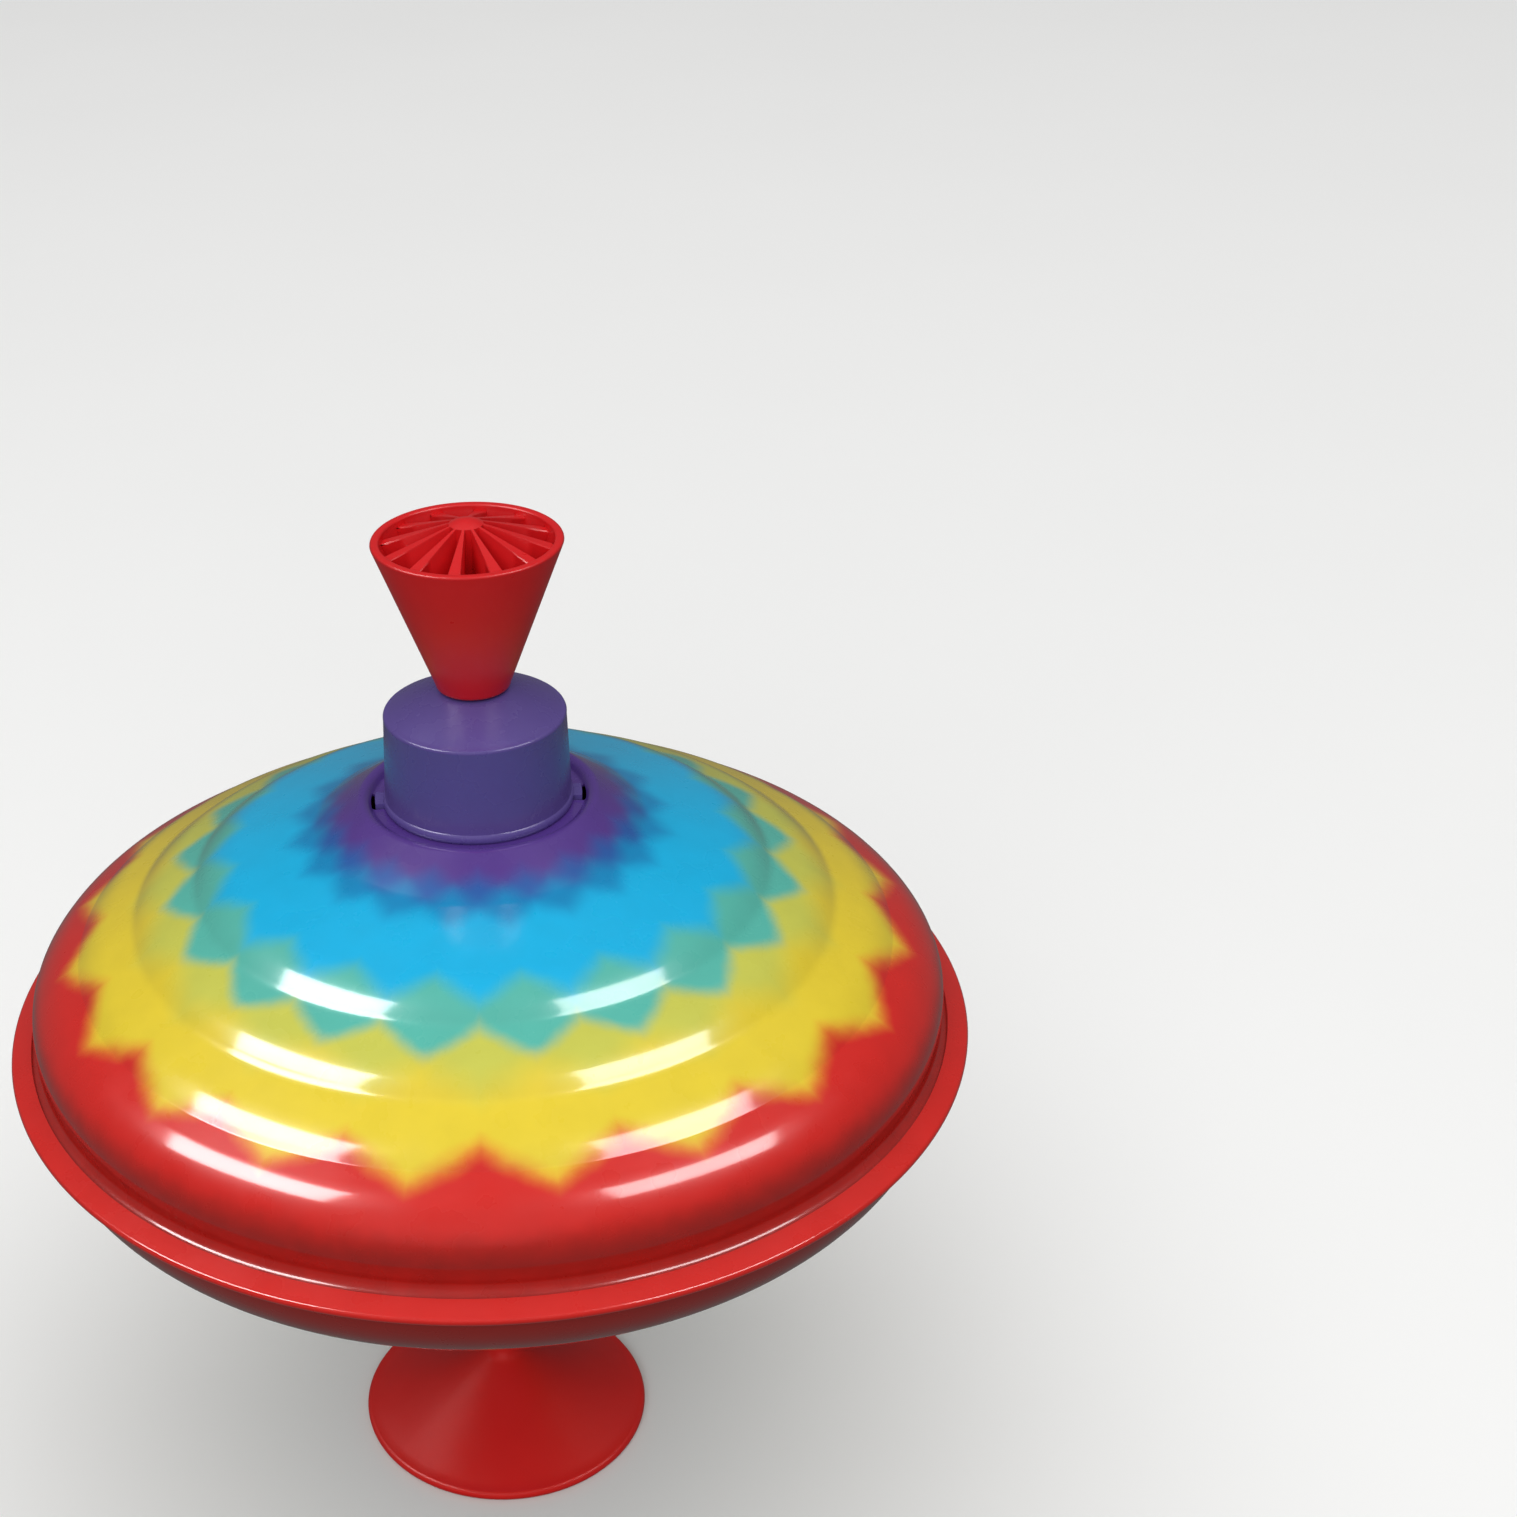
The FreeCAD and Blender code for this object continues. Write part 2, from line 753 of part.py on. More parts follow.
def make_reed_chamber():
    """The upper half of the stem: a slotted cup that holds the reed plate and snaps into the shell."""
    base_radius = size.stem_top_radius + size.stem_step
    slope = (size.chamber_top_radius - base_radius) / size.chamber_height
    floor_top = chamber_base + size.moulded_wall
    ring_base = seat - size.chamber_ring
    spigot = size.stem_top_radius - size.moulded_wall - size.press_gap
    inner_base = base_radius + slope * size.moulded_wall - size.moulded_wall
    inner_top = size.chamber_top_radius - slope * size.chamber_ring - size.moulded_wall
    socket = size.plate_radius + size.press_gap
    body = turned("reed_chamber", [
        (0, chamber_base),
        (spigot - size.spigot_wall, chamber_base),
        (spigot - size.spigot_wall, chamber_base - size.spigot_height),
        (spigot, chamber_base - size.spigot_height),
        (spigot, chamber_base),
        (base_radius, chamber_base),
        (size.chamber_top_radius, seat),
        (socket, seat),
        (socket, plate_base),
        (size.chamber_ledge_radius, plate_base),
        (size.chamber_ledge_radius, ring_base),
        (inner_top, ring_base),
        (inner_base, floor_top),
        (0, floor_top),
    ])
    hook_outer = size.seat_hole_radius - size.press_gap * 2
    hook_catch = seat + size.tin_thickness + size.press_gap
    hook = revolve(body, [
        (hook_outer - size.hook_thickness, ring_base + size.chamber_ring / 2),
        (hook_outer, ring_base + size.chamber_ring / 2),
        (hook_outer, hook_catch),
        (hook_outer + size.hook_reach, hook_catch),
        (hook_outer, seat + size.hook_height),
        (hook_outer - size.hook_thickness, seat + size.hook_height),
    ], arc=size.hook_arc)
    around(body, hook, HOOKS)
    half_slot = size.chamber_slot_width / 2
    slot_base = chamber_base + size.chamber_slot_rise
    slot_top = slot_base + size.chamber_slot_height
    slot = cut_outline(body, [
        (-half_slot, slot_base),
        (half_slot, slot_base),
        (half_slot, slot_top),
        (-half_slot, slot_top),
    ], "YZ_Plane", size.chamber_top_radius * 2)
    around(body, slot, CHAMBER_SLOTS)
    return body


# ---- reeds and centre tube ----

def make_reed_plate():
    """A steel disc with a window under each reed and a hole for its rivet."""
    body = turned("reed_plate", [
        (0, plate_base),
        (size.plate_radius, plate_base),
        (size.plate_radius, plate_top),
        (0, plate_top),
    ])
    half_window = size.reed_width / 2 + size.reed_side_gap
    reed_start = -(size.reed_length / 2)
    window = cut_outline(body, [
        (size.reed_distance - half_window, reed_start + size.reed_root),
        (size.reed_distance + half_window, reed_start + size.reed_root),
        (size.reed_distance + half_window, size.reed_length / 2 + size.reed_side_gap),
        (size.reed_distance - half_window, size.reed_length / 2 + size.reed_side_gap),
    ], "XY_Plane", plate_top + size.plate_thickness)
    around(body, window, REEDS)
    rivet_place = reed_start + size.reed_root / 2
    rivet_hole = cut_hole(body, size.reed_distance, rivet_place, size.rivet_radius,
                          "XY_Plane", plate_top + size.plate_thickness)
    around(body, rivet_hole, REEDS)
    return body


def around_axis(name, make_solid):
    """One node of separate solids, one at each reed."""
    solids = []
    for index in range(REEDS):
        solid = make_solid()
        solid.rotate(FreeCAD.Vector(0, 0, 0), FreeCAD.Vector(0, 0, 1), FULL_TURN * index / REEDS)
        solids.append(solid)
    feature = doc.addObject("Part::Feature", name)
    feature.Shape = Part.makeCompound(solids)
    feature.Label = name
    return feature


def make_reeds():
    """Thin brass tongues, each fixed at its root."""

    def reed():
        length, width = size.reed_length.number, size.reed_width.number
        strip = Part.makeBox(width, length, size.reed_thickness.number)
        strip.translate(FreeCAD.Vector(size.reed_distance.number - width / 2, -length / 2, plate_top.number))
        hole = Part.makeCylinder(size.rivet_radius.number, plate_top.number * 2)
        hole.translate(FreeCAD.Vector(size.reed_distance.number, (size.reed_root.number - length) / 2, 0))
        return strip.cut(hole)

    return around_axis("reeds", reed)


def make_reed_rivets():
    """A small headed rivet through the root of each reed."""

    def rivet():
        shank_height = size.plate_thickness.number + size.reed_thickness.number
        place = FreeCAD.Vector(size.reed_distance.number,
                               (size.reed_root.number - size.reed_length.number) / 2, plate_base.number)
        shank = Part.makeCylinder(size.rivet_radius.number, shank_height, place)
        head_place = place + FreeCAD.Vector(0, 0, shank_height)
        head = Part.makeCylinder(size.rivet_head_radius.number, size.rivet_head.number, head_place)
        return shank.fuse(head).removeSplitter()

    return around_axis("reed_rivets", rivet)


def make_tube_ring():
    """The flanged ring that holds the foot of the centre tube on the reed plate."""
    return turned("tube_ring", [
        (size.tube_radius, plate_top),
        (size.ring_flange_radius, plate_top),
        (size.ring_flange_radius, plate_top + size.ring_flange),
        (size.ring_radius, plate_top + size.ring_flange),
        (size.ring_radius, plate_top + size.ring_height),
        (size.tube_radius, plate_top + size.ring_height),
    ])


def make_centre_tube():
    """The tube that the rod slides in, from the reed plate to the crown."""
    bore = size.tube_radius - size.tube_wall
    return turned("centre_tube", [
        (bore, plate_top),
        (size.tube_radius, plate_top),
        (size.tube_radius, shelf),
        (bore, shelf),
    ])


# ---- tin shells ----

def make_lower_shell():
    """The bowl, with the hem folded over the upper shell's flange and two groups of air slots."""
    body = turned("lower_shell", sheet_outline(
        (hem_start_radius, hem_start_height), size.hem_fall, lower_path, size.tin_thickness), chained=True)
    vent_top = hem_start_height - size.hem_run * sine(size.hem_fall) - bead_radius - size.vent_drop
    vent_base = vent_top - size.vent_height
    half_vent = size.vent_width / 2
    group_sweep = size.vent_pitch * (VENTS_IN_A_GROUP - 1)
    vent = cut_outline(body, [
        (-half_vent, vent_base),
        (half_vent, vent_base),
        (half_vent, vent_top),
        (-half_vent, vent_top),
    ], "YZ_Plane", size.rim_radius, both_ways=True, turn=-(group_sweep / 2))
    around(body, vent, VENTS_IN_A_GROUP, group_sweep)
    return body


def make_upper_shell():
    """The stepped dome, with a slot for each tongue of the collar."""
    body = turned("upper_shell", sheet_outline(
        (size.top_hole_radius, shelf), ZERO, upper_path, size.tin_thickness), chained=True)
    slot_inner = size.tongue_inner_radius - size.press_gap
    slot_outer = slot_inner + size.slot_width
    slot = revolve(body, [
        (slot_inner, shelf - size.tin_thickness * 2),
        (slot_outer, shelf - size.tin_thickness * 2),
        (slot_outer, shelf + size.tin_thickness * 2),
        (slot_inner, shelf + size.tin_thickness * 2),
    ], kind="Groove", arc=size.slot_arc)
    around(body, slot, TONGUES)
    return body


# ---- collar and guide ----

def make_collar():
    """The moulded collar: a beaded foot, a steep wall, a shallow roof and two hooked tongues."""
    bead_radius = size.collar_foot_radius + size.collar_bead
    bead_half = size.collar_bead_height / 2
    bead_curve = (bead_half * bead_half + size.collar_bead * size.collar_bead) / (size.collar_bead * 2)
    bore = size.collar_foot_radius - size.moulded_wall
    inner_top = size.collar_top_radius - size.moulded_wall
    body = turned("collar", [
        (bore, shelf),
        (size.collar_foot_radius, shelf),
        (bead_radius, shelf + bead_half, bead_curve),
        (size.collar_foot_radius, shelf + size.collar_bead_height, bead_curve),
        (size.collar_top_radius, collar_wall_top),
        (size.roof_flat_radius, roof_top, size.roof_curve_radius),
        (size.guide_radius, roof_top),
        (size.guide_radius, roof_underside_inner),
        (inner_top, roof_underside_outer),
    ])
    rounded(body, size.collar_edge_round, (size.collar_top_radius, collar_wall_top))
    tongue_outer = size.tongue_inner_radius + size.tongue_thickness
    hook_top = shelf_underside - size.press_gap
    tongue = revolve(body, [
        (bore + size.moulded_wall / 2, shelf),
        (size.tongue_inner_radius, shelf),
        (size.tongue_inner_radius, hook_top),
        (size.tongue_inner_radius - size.tongue_hook_reach, hook_top),
        (size.tongue_inner_radius - size.tongue_hook_reach, hook_top - size.tongue_hook),
        (tongue_outer, hook_top - size.tongue_hook),
        (tongue_outer, shelf + size.tongue_height),
        (bore + size.moulded_wall / 2, shelf + size.tongue_height),
    ], arc=size.tongue_arc)
    around(body, tongue, TONGUES)
    return body


def make_rod_guide():
    """The flanged guide in the roof, which keeps the rod upright."""
    roof_slope = ((roof_underside_inner - roof_underside_outer)
                  / (size.collar_top_radius - size.moulded_wall - size.guide_radius))
    flange_top = roof_underside_inner - roof_slope * (size.guide_flange_radius - size.guide_radius)
    outer = size.guide_radius - size.press_gap
    return turned("rod_guide", [
        (guide_bore, roof_top - size.guide_height),
        (outer, roof_top - size.guide_height),
        (outer, flange_top - size.guide_flange),
        (size.guide_flange_radius, flange_top - size.guide_flange),
        (size.guide_flange_radius, flange_top),
        (outer, flange_top),
        (outer, roof_top),
        (guide_bore, roof_top),
    ])


# ---- clutch ----

def add_teeth(body, base, rise):
    """Ratchet teeth round a ring, each with one steep flank."""
    half = size.tooth_width / 2
    sketch = new_sketch(body, "YZ_Plane", offset=size.tooth_inner_radius)
    draw(sketch, [(-half, base), (half, base), (half, base + rise)])
    tooth = body.newObject("PartDesign::Pad", f"{body.Name}_tooth")
    tooth.Profile = sketch
    bind(tooth, "Length", size.tooth_length)
    around(body, tooth, TEETH)


def make_clutch_crown():
    """The toothed ring on the shelf. Its hub passes through the shell and is headed over the washer."""
    hub = size.top_hole_radius - size.press_gap
    washer_base = shelf_underside - size.washer_thickness
    body = turned("clutch_crown", [
        (size.tube_radius, washer_base - size.crown_lip),
        (hub + size.crown_lip_reach, washer_base - size.crown_lip),
        (hub + size.crown_lip_reach, washer_base),
        (hub, washer_base),
        (hub, shelf),
        (size.crown_flange_radius, shelf),
        (size.crown_flange_radius, shelf + size.crown_flange),
        (size.crown_radius, shelf + size.crown_flange),
        (size.crown_radius, crown_top),
        (nut_bore, crown_top),
        (nut_bore, crown_ledge),
        (size.tube_radius, crown_ledge),
    ])
    add_teeth(body, crown_top, size.tooth_height)
    return body


def make_crown_washer():
    """The steel washer under the shelf."""
    washer_base = shelf_underside - size.washer_thickness
    return turned("crown_washer", [
        (size.top_hole_radius, washer_base),
        (size.washer_radius, washer_base),
        (size.washer_radius, shelf_underside),
        (size.top_hole_radius, shelf_underside),
    ])


def make_drive_nut():
    """The toothed nut above the crown."""
    body = turned("drive_nut", [
        (nut_bore, nut_base),
        (size.nut_radius, nut_base),
        (size.nut_radius, nut_top),
        (nut_bore, nut_top),
    ])
    add_teeth(body, nut_base, -size.tooth_height)
    return body


def twisted_bar(width, thickness, base, top):
    """A flat bar twisted right-handed about Z, with its flat facing X at the height of the cross pin."""
    turn_at_base = FULL_TURN * (base - rod_pin_height.number) / size.rod_lead.number
    half_width, half_thickness = width / 2, thickness / 2
    corners = [(-half_thickness, -half_width), (half_thickness, -half_width),
               (half_thickness, half_width), (-half_thickness, half_width)]
    points = [FreeCAD.Vector(across, along, base) for across, along in corners]
    section = Part.makePolygon(points + points[:1])
    section.rotate(FreeCAD.Vector(0, 0, 0), FreeCAD.Vector(0, 0, 1), turn_at_base)
    spine = Part.Wire(Part.makeLine(FreeCAD.Vector(0, 0, base), FreeCAD.Vector(0, 0, top)))
    guide = Part.Wire(Part.makeHelix(size.rod_lead.number, top - base, width))
    guide.translate(FreeCAD.Vector(0, 0, base))
    sweep = Part.BRepOffsetAPI.MakePipeShell(spine)
    sweep.setAuxiliarySpine(guide, False, 0)
    sweep.add(section, False, False)
    sweep.build()
    sweep.makeSolid()
    bar = sweep.shape()
    expected = width * thickness * (top - base)
    if abs(bar.Volume / expected - 1) > VOLUME_TOLERANCE:
        raise ValueError("the twisted bar has the wrong volume")
    return bar


def make_nut_plate():
    """The steel plate on the nut, with a twisted slot that follows the rod."""
    plate_height = nut_top + size.nut_plate_thickness
    disc = turned("nut_plate_disc", [
        (0, nut_top),
        (size.nut_plate_radius, nut_top),
        (size.nut_plate_radius, plate_height),
        (0, plate_height),
    ])
    cutter = doc.addObject("Part::Feature", "nut_plate_slot")
    margin = size.nut_plate_thickness.number
    cutter.Shape = twisted_bar(size.rod_width.number + size.slot_clearance.number * 2,
                               size.rod_thickness.number + size.slot_clearance.number * 2,
                               nut_top.number - margin, plate_height.number + margin)
    plate = doc.addObject("Part::Cut", "nut_plate")
    plate.Base = disc
    plate.Tool = cutter
    plate.Label = "nut_plate"
    return plate


# ---- knob and rod ----

def knob_outer_radius(height):
    """The radius of the knob's cone at a height."""
    slope = (size.knob_radius - size.knob_base_radius) / size.knob_cone_height
    return size.knob_base_radius + slope * (height - knob_base)


def make_knob():
    """A hollow cone with a raised hub, and wedge ribs from the lip to the hub."""
    lip = size.knob_lip
    inner_top = size.knob_radius - size.knob_wall
    floor_radius = knob_outer_radius(knob_floor_height) - size.knob_wall
    dome_base = hub_top - size.hub_dome
    dome_radius = (size.hub_radius * size.hub_radius + size.hub_dome * size.hub_dome) / (size.hub_dome * 2)
    body = turned("knob", [
        (0, rod_top),
        (knob_bore, rod_top),
        (knob_bore, knob_base),
        (size.knob_base_radius, knob_base),
        (size.knob_radius, knob_top),
        (size.knob_radius - lip, knob_top + lip, lip),
        (inner_top + lip, knob_top + lip),
        (inner_top, knob_top, lip),
        (floor_radius, knob_floor_height),
        (size.hub_radius, knob_floor_height),
        (size.hub_radius, dome_base),
        (0, hub_top, dome_radius),
    ])
    rounded(body, size.knob_base_round, (size.knob_base_radius, knob_base))
    rib_base = knob_floor_height - size.knob_floor / 2
    rib = revolve(body, [
        (size.hub_radius / 2, rib_base),
        (floor_radius, rib_base),
        (inner_top + lip / 2, knob_top - size.rib_drop),
        (size.hub_radius / 2, dome_base),
    ], arc=size.rib_thickness_angle, turn=size.rib_turn)
    around(body, rib, KNOB_RIBS)
    cut_hole(body, ZERO, rod_pin_height, size.rod_pin_radius, "YZ_Plane", size.knob_radius, both_ways=True)
    return body


def make_twisted_rod():
    """The twisted flat rod, drilled for the cross pin."""
    bar = twisted_bar(size.rod_width.number, size.rod_thickness.number, rod_base.number, rod_top.number)
    reach = size.knob_base_radius.number
    hole = Part.makeCylinder(size.rod_pin_radius.number, reach * 2,
                             FreeCAD.Vector(-reach, 0, rod_pin_height.number), FreeCAD.Vector(1, 0, 0))
    rod = doc.addObject("Part::Feature", "twisted_rod")
    rod.Shape = bar.cut(hole)
    rod.Label = "twisted_rod"
    return rod


def make_rod_pin():
    """The cross pin that holds the rod in the knob."""
    half_length = knob_outer_radius(rod_pin_height - size.rod_pin_radius) - size.rod_pin_inset
    pin = doc.addObject("Part::Cylinder", "rod_pin")
    bind(pin, "Radius", size.rod_pin_radius)
    bind(pin, "Height", half_length * 2)
    pin.Placement = FreeCAD.Placement(FreeCAD.Vector(-half_length.number, 0, rod_pin_height.number),
                                      FreeCAD.Rotation(FreeCAD.Vector(0, 1, 0), FULL_TURN / 4))
    bind(pin, "Placement.Base.x", -half_length)
    bind(pin, "Placement.Base.z", rod_pin_height)
    pin.Label = "rod_pin"
    return pin


def make_rod_stop():
    """The stop on the rod's lower end, which meets the crown when the knob is fully up."""
    bore = size.rod_width / 2 + size.running_gap * 2
    return turned("rod_stop", [
        (bore, stop_base),
        (size.stop_radius, stop_base),
        (size.stop_radius, stop_top),
        (bore, stop_top),
    ])


MAKERS = [
    make_foot_disc, make_pivot_pin, make_pin_clip,
    make_stem_cone, make_pivot_bush, make_thrust_pad, make_reed_chamber,
    make_reed_plate, make_reeds, make_reed_rivets, make_tube_ring, make_centre_tube,
    make_lower_shell, make_upper_shell, make_collar, make_rod_guide,
    make_clutch_crown, make_crown_washer, make_drive_nut, make_nut_plate,
    make_knob, make_twisted_rod, make_rod_pin, make_rod_stop,
]
nodes = [maker() for maker in MAKERS]
doc.recompute()

for item in doc.Objects:
    if "Invalid" in item.State or "Error" in item.State:
        raise ValueError(f"{item.Name} did not recompute")
for node in nodes:
    if node.Shape.isNull() or not node.Shape.isValid():
        raise ValueError(f"{node.Label} has no valid shape")
    node.Shape.exportStep(os.path.join("parts", f"{node.Label}.step"))
    box = node.Shape.BoundBox
    heights = f"z {box.ZMin:7.2f} to {box.ZMax:7.2f}"
    print(f"{node.Label:14s} x to {box.XMax:7.2f}  {heights}  {node.Shape.Volume:10.1f} mm3")
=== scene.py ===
"""Looks of a push-down humming top: printed tin shells, moulded collar, knob, stem and foot, twisted rod."""

import collections
import json
import math
import bmesh
import bpy
from mathutils import Euler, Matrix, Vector


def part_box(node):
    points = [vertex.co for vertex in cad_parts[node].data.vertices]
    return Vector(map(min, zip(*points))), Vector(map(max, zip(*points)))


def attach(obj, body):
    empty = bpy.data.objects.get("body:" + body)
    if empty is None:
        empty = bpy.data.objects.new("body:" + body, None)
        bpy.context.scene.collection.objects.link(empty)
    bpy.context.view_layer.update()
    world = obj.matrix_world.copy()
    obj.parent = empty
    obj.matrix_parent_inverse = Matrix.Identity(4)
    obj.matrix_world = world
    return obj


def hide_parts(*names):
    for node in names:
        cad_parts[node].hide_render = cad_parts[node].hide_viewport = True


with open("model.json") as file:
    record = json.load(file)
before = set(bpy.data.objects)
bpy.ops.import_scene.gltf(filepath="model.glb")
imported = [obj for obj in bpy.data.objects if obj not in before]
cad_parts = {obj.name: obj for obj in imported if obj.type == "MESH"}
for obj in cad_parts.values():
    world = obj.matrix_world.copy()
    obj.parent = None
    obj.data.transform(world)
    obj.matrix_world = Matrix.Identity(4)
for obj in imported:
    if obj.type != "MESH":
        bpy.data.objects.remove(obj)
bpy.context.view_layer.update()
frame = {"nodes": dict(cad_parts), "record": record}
nodes = frame["nodes"]
MM = 0.001


def low(node, axis=2):
    """The lowest coordinate of a CAD node, in millimetres."""
    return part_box(node)[0][axis] / MM


def high(node, axis=2):
    """The highest coordinate of a CAD node, in millimetres."""
    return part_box(node)[1][axis] / MM


# ---- sections: outlines are (radius, height) in millimetres ----

TIN = 0.45
MOULDED_WALL = 1.6
PRESS_GAP = 0.05
LEVEL_BACK = 180.0
ARC_STEP = 5.0
ARC_PARTS = 8
CORNER_PARTS = 5
ON_AXIS = 1e-6
SAME_PLACE = 1e-9
CROSSING = 1e-12


def trace(start, fall, moves, inset=0.0):
    """Points along a pressed sheet: (run,) goes straight on, and (radius, fall) bends to a new fall.

    A fall is how far the section has turned down from level, in degrees. inset gives the sheet's other face.
    """
    across, up = start
    across -= inset * math.sin(math.radians(fall))
    up -= inset * math.cos(math.radians(fall))
    points = [(across, up)]
    for move in moves:
        if len(move) == 1:
            across += move[0] * math.cos(math.radians(fall))
            up -= move[0] * math.sin(math.radians(fall))
            points.append((across, up))
            continue
        radius, target = move
        outward = 1 if target > fall else -1
        radius -= inset * outward
        steps = max(2, math.ceil(abs(target - fall) / ARC_STEP))
        centre_across = across - radius * outward * math.sin(math.radians(fall))
        centre_up = up - radius * outward * math.cos(math.radians(fall))
        for step in range(1, steps + 1):
            angle = math.radians(fall + (target - fall) * step / steps)
            across = centre_across + radius * outward * math.sin(angle)
            up = centre_up + radius * outward * math.cos(angle)
            points.append((across, up))
        fall = target
    return points


def close_reach(fall, moves_for, wanted, slope):
    """The moves whose one open straight run makes them reach as far out as wanted."""
    reached = trace((0, 0), fall, moves_for(0.0))[-1][0]
    return moves_for((wanted - reached) / math.cos(math.radians(slope)))


def sheet_section(start, fall, moves):
    """A sheet's closed section, out along its front and home along its back, and the front's point count."""
    front = trace(start, fall, moves)
    back = trace(start, fall, moves, TIN)
    return front + back[::-1], len(front)


def bulge_radius(half_width, rise):
    """The radius of an arc that rises so much over half its width."""
    return (half_width ** 2 + rise ** 2) / (2 * rise)


def arc_to(points, end, radius, steps=ARC_PARTS):
    """Continue a section by a short arc, anticlockwise for a positive radius."""
    start, end = Vector(points[-1]), Vector(end)
    chord = end - start
    lean = math.sqrt(max(radius * radius - chord.length_squared / 4, 0.0))
    left = Vector((-chord.y, chord.x)).normalized()
    centre = (start + end) / 2 + left * math.copysign(lean, radius)
    first = math.atan2(start.y - centre.y, start.x - centre.x)
    sweep = 2 * math.asin(min(chord.length / (2 * abs(radius)), 1.0))
    for step in range(1, steps + 1):
        angle = first + math.copysign(sweep, radius) * step / steps
        across = centre.x + abs(radius) * math.cos(angle)
        up = centre.y + abs(radius) * math.sin(angle)
        points.append((across, up))
    return points


def soften(corners, rounds, steps=CORNER_PARTS):
    """A closed section with the numbered corners rounded to the given radii."""
    points = []
    for index, corner in enumerate(corners):
        here = Vector(corner)
        if index not in rounds:
            points.append(tuple(here))
            continue
        before = (Vector(corners[index - 1]) - here).normalized()
        after = (Vector(corners[(index + 1) % len(corners)]) - here).normalized()
        half = math.acos(max(-1.0, min(1.0, before.dot(after)))) / 2
        reach = rounds[index] / math.tan(half)
        centre = here + (before + after).normalized() * rounds[index] / math.sin(half)
        first, last = here + before * reach - centre, here + after * reach - centre
        for step in range(steps + 1):
            share = step / steps
            spoke = first.lerp(last, share).normalized() * rounds[index]
            points.append(tuple(centre + spoke))
    return points


def split(points, axis, value):
    """Add a point wherever an open section crosses a radius (axis 0) or a height (axis 1)."""
    result = points[:1]
    for before, point in zip(points, points[1:]):
        if (before[axis] - value) * (point[axis] - value) < -CROSSING:
            share = (value - before[axis]) / (point[axis] - before[axis])
            result.append(tuple(before[i] + (point[i] - before[i]) * share for i in (0, 1)))
        result.append(point)
    return result


def along(points, count):
    """Evenly spread points along a broken line."""
    lengths = [0.0]
    for before, after in zip(points, points[1:]):
        lengths.append(lengths[-1] + math.dist(before, after))
    result = []
    for step in range(count + 1):
        wanted = lengths[-1] * step / count
        index = next(i for i in range(1, len(points)) if lengths[i] >= wanted - SAME_PLACE)
        share = (wanted - lengths[index - 1]) / (lengths[index] - lengths[index - 1])
        result.append(tuple(a + (b - a) * share for a, b in zip(points[index - 1], points[index])))
    return result


# ---- meshes ----

SEGMENTS = 240
SECTOR_PARTS = 8
SHARP_ANGLE = math.radians(32)
ANGLE_DIGITS = 4


def finish_mesh(name, mesh_builder, material, body, slot, *replaced):
    """Turn a bmesh into a piece that rides on a body and stands for CAD nodes."""
    bmesh.ops.recalc_face_normals(mesh_builder, faces=mesh_builder.faces)
    mesh = bpy.data.meshes.new(name)
    mesh_builder.to_mesh(mesh)
    mesh_builder.free()
    mesh.polygons.foreach_set("use_smooth", [True] * len(mesh.polygons))
    mesh.set_sharp_from_angle(angle=SHARP_ANGLE)
    mesh.materials.append(material)
    piece = bpy.data.objects.new(name, mesh)
    bpy.context.scene.collection.objects.link(piece)
    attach(piece, body)
    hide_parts(*replaced)
    return piece


def angle_stations(segments, edges=()):
    """Even angles round the axis, with the given exact ones in place of their near neighbours."""
    exact = sorted(set(round(edge % 360, ANGLE_DIGITS) for edge in edges))
    close = 180 / segments
    even = [360 * step / segments for step in range(segments)]
    kept = [angle for angle in even
            if all(min(abs(angle - edge), 360 - abs(angle - edge)) > close for edge in exact)]
    return sorted(kept + exact)


def point_at(across, up, turn):
    """A place in metres, from a radius and a height in millimetres and a turn round the axis in radians."""
    return across * MM * math.cos(turn), across * MM * math.sin(turn), up * MM


def add_ring(builder, section, angle):
    """The vertices of a section turned to an angle."""
    turn = math.radians(angle)
    return [builder.verts.new(point_at(across, up, turn)) for across, up in section]


def face(builder, *corners):
    """A face from corners, skipping repeated ones."""
    unique = []
    for corner in corners:
        if corner not in unique:
            unique.append(corner)
    if len(unique) > 2:
        builder.faces.new(unique)


def join_rows(builder, here, there):
    """Faces between two rows of vertices."""
    for index in range(len(here) - 1):
        face(builder, here[index], here[index + 1], there[index + 1], there[index])


def join_loops(builder, here, there):
    """Faces between two closed rows of vertices."""
    join_rows(builder, here + here[:1], there + there[:1])


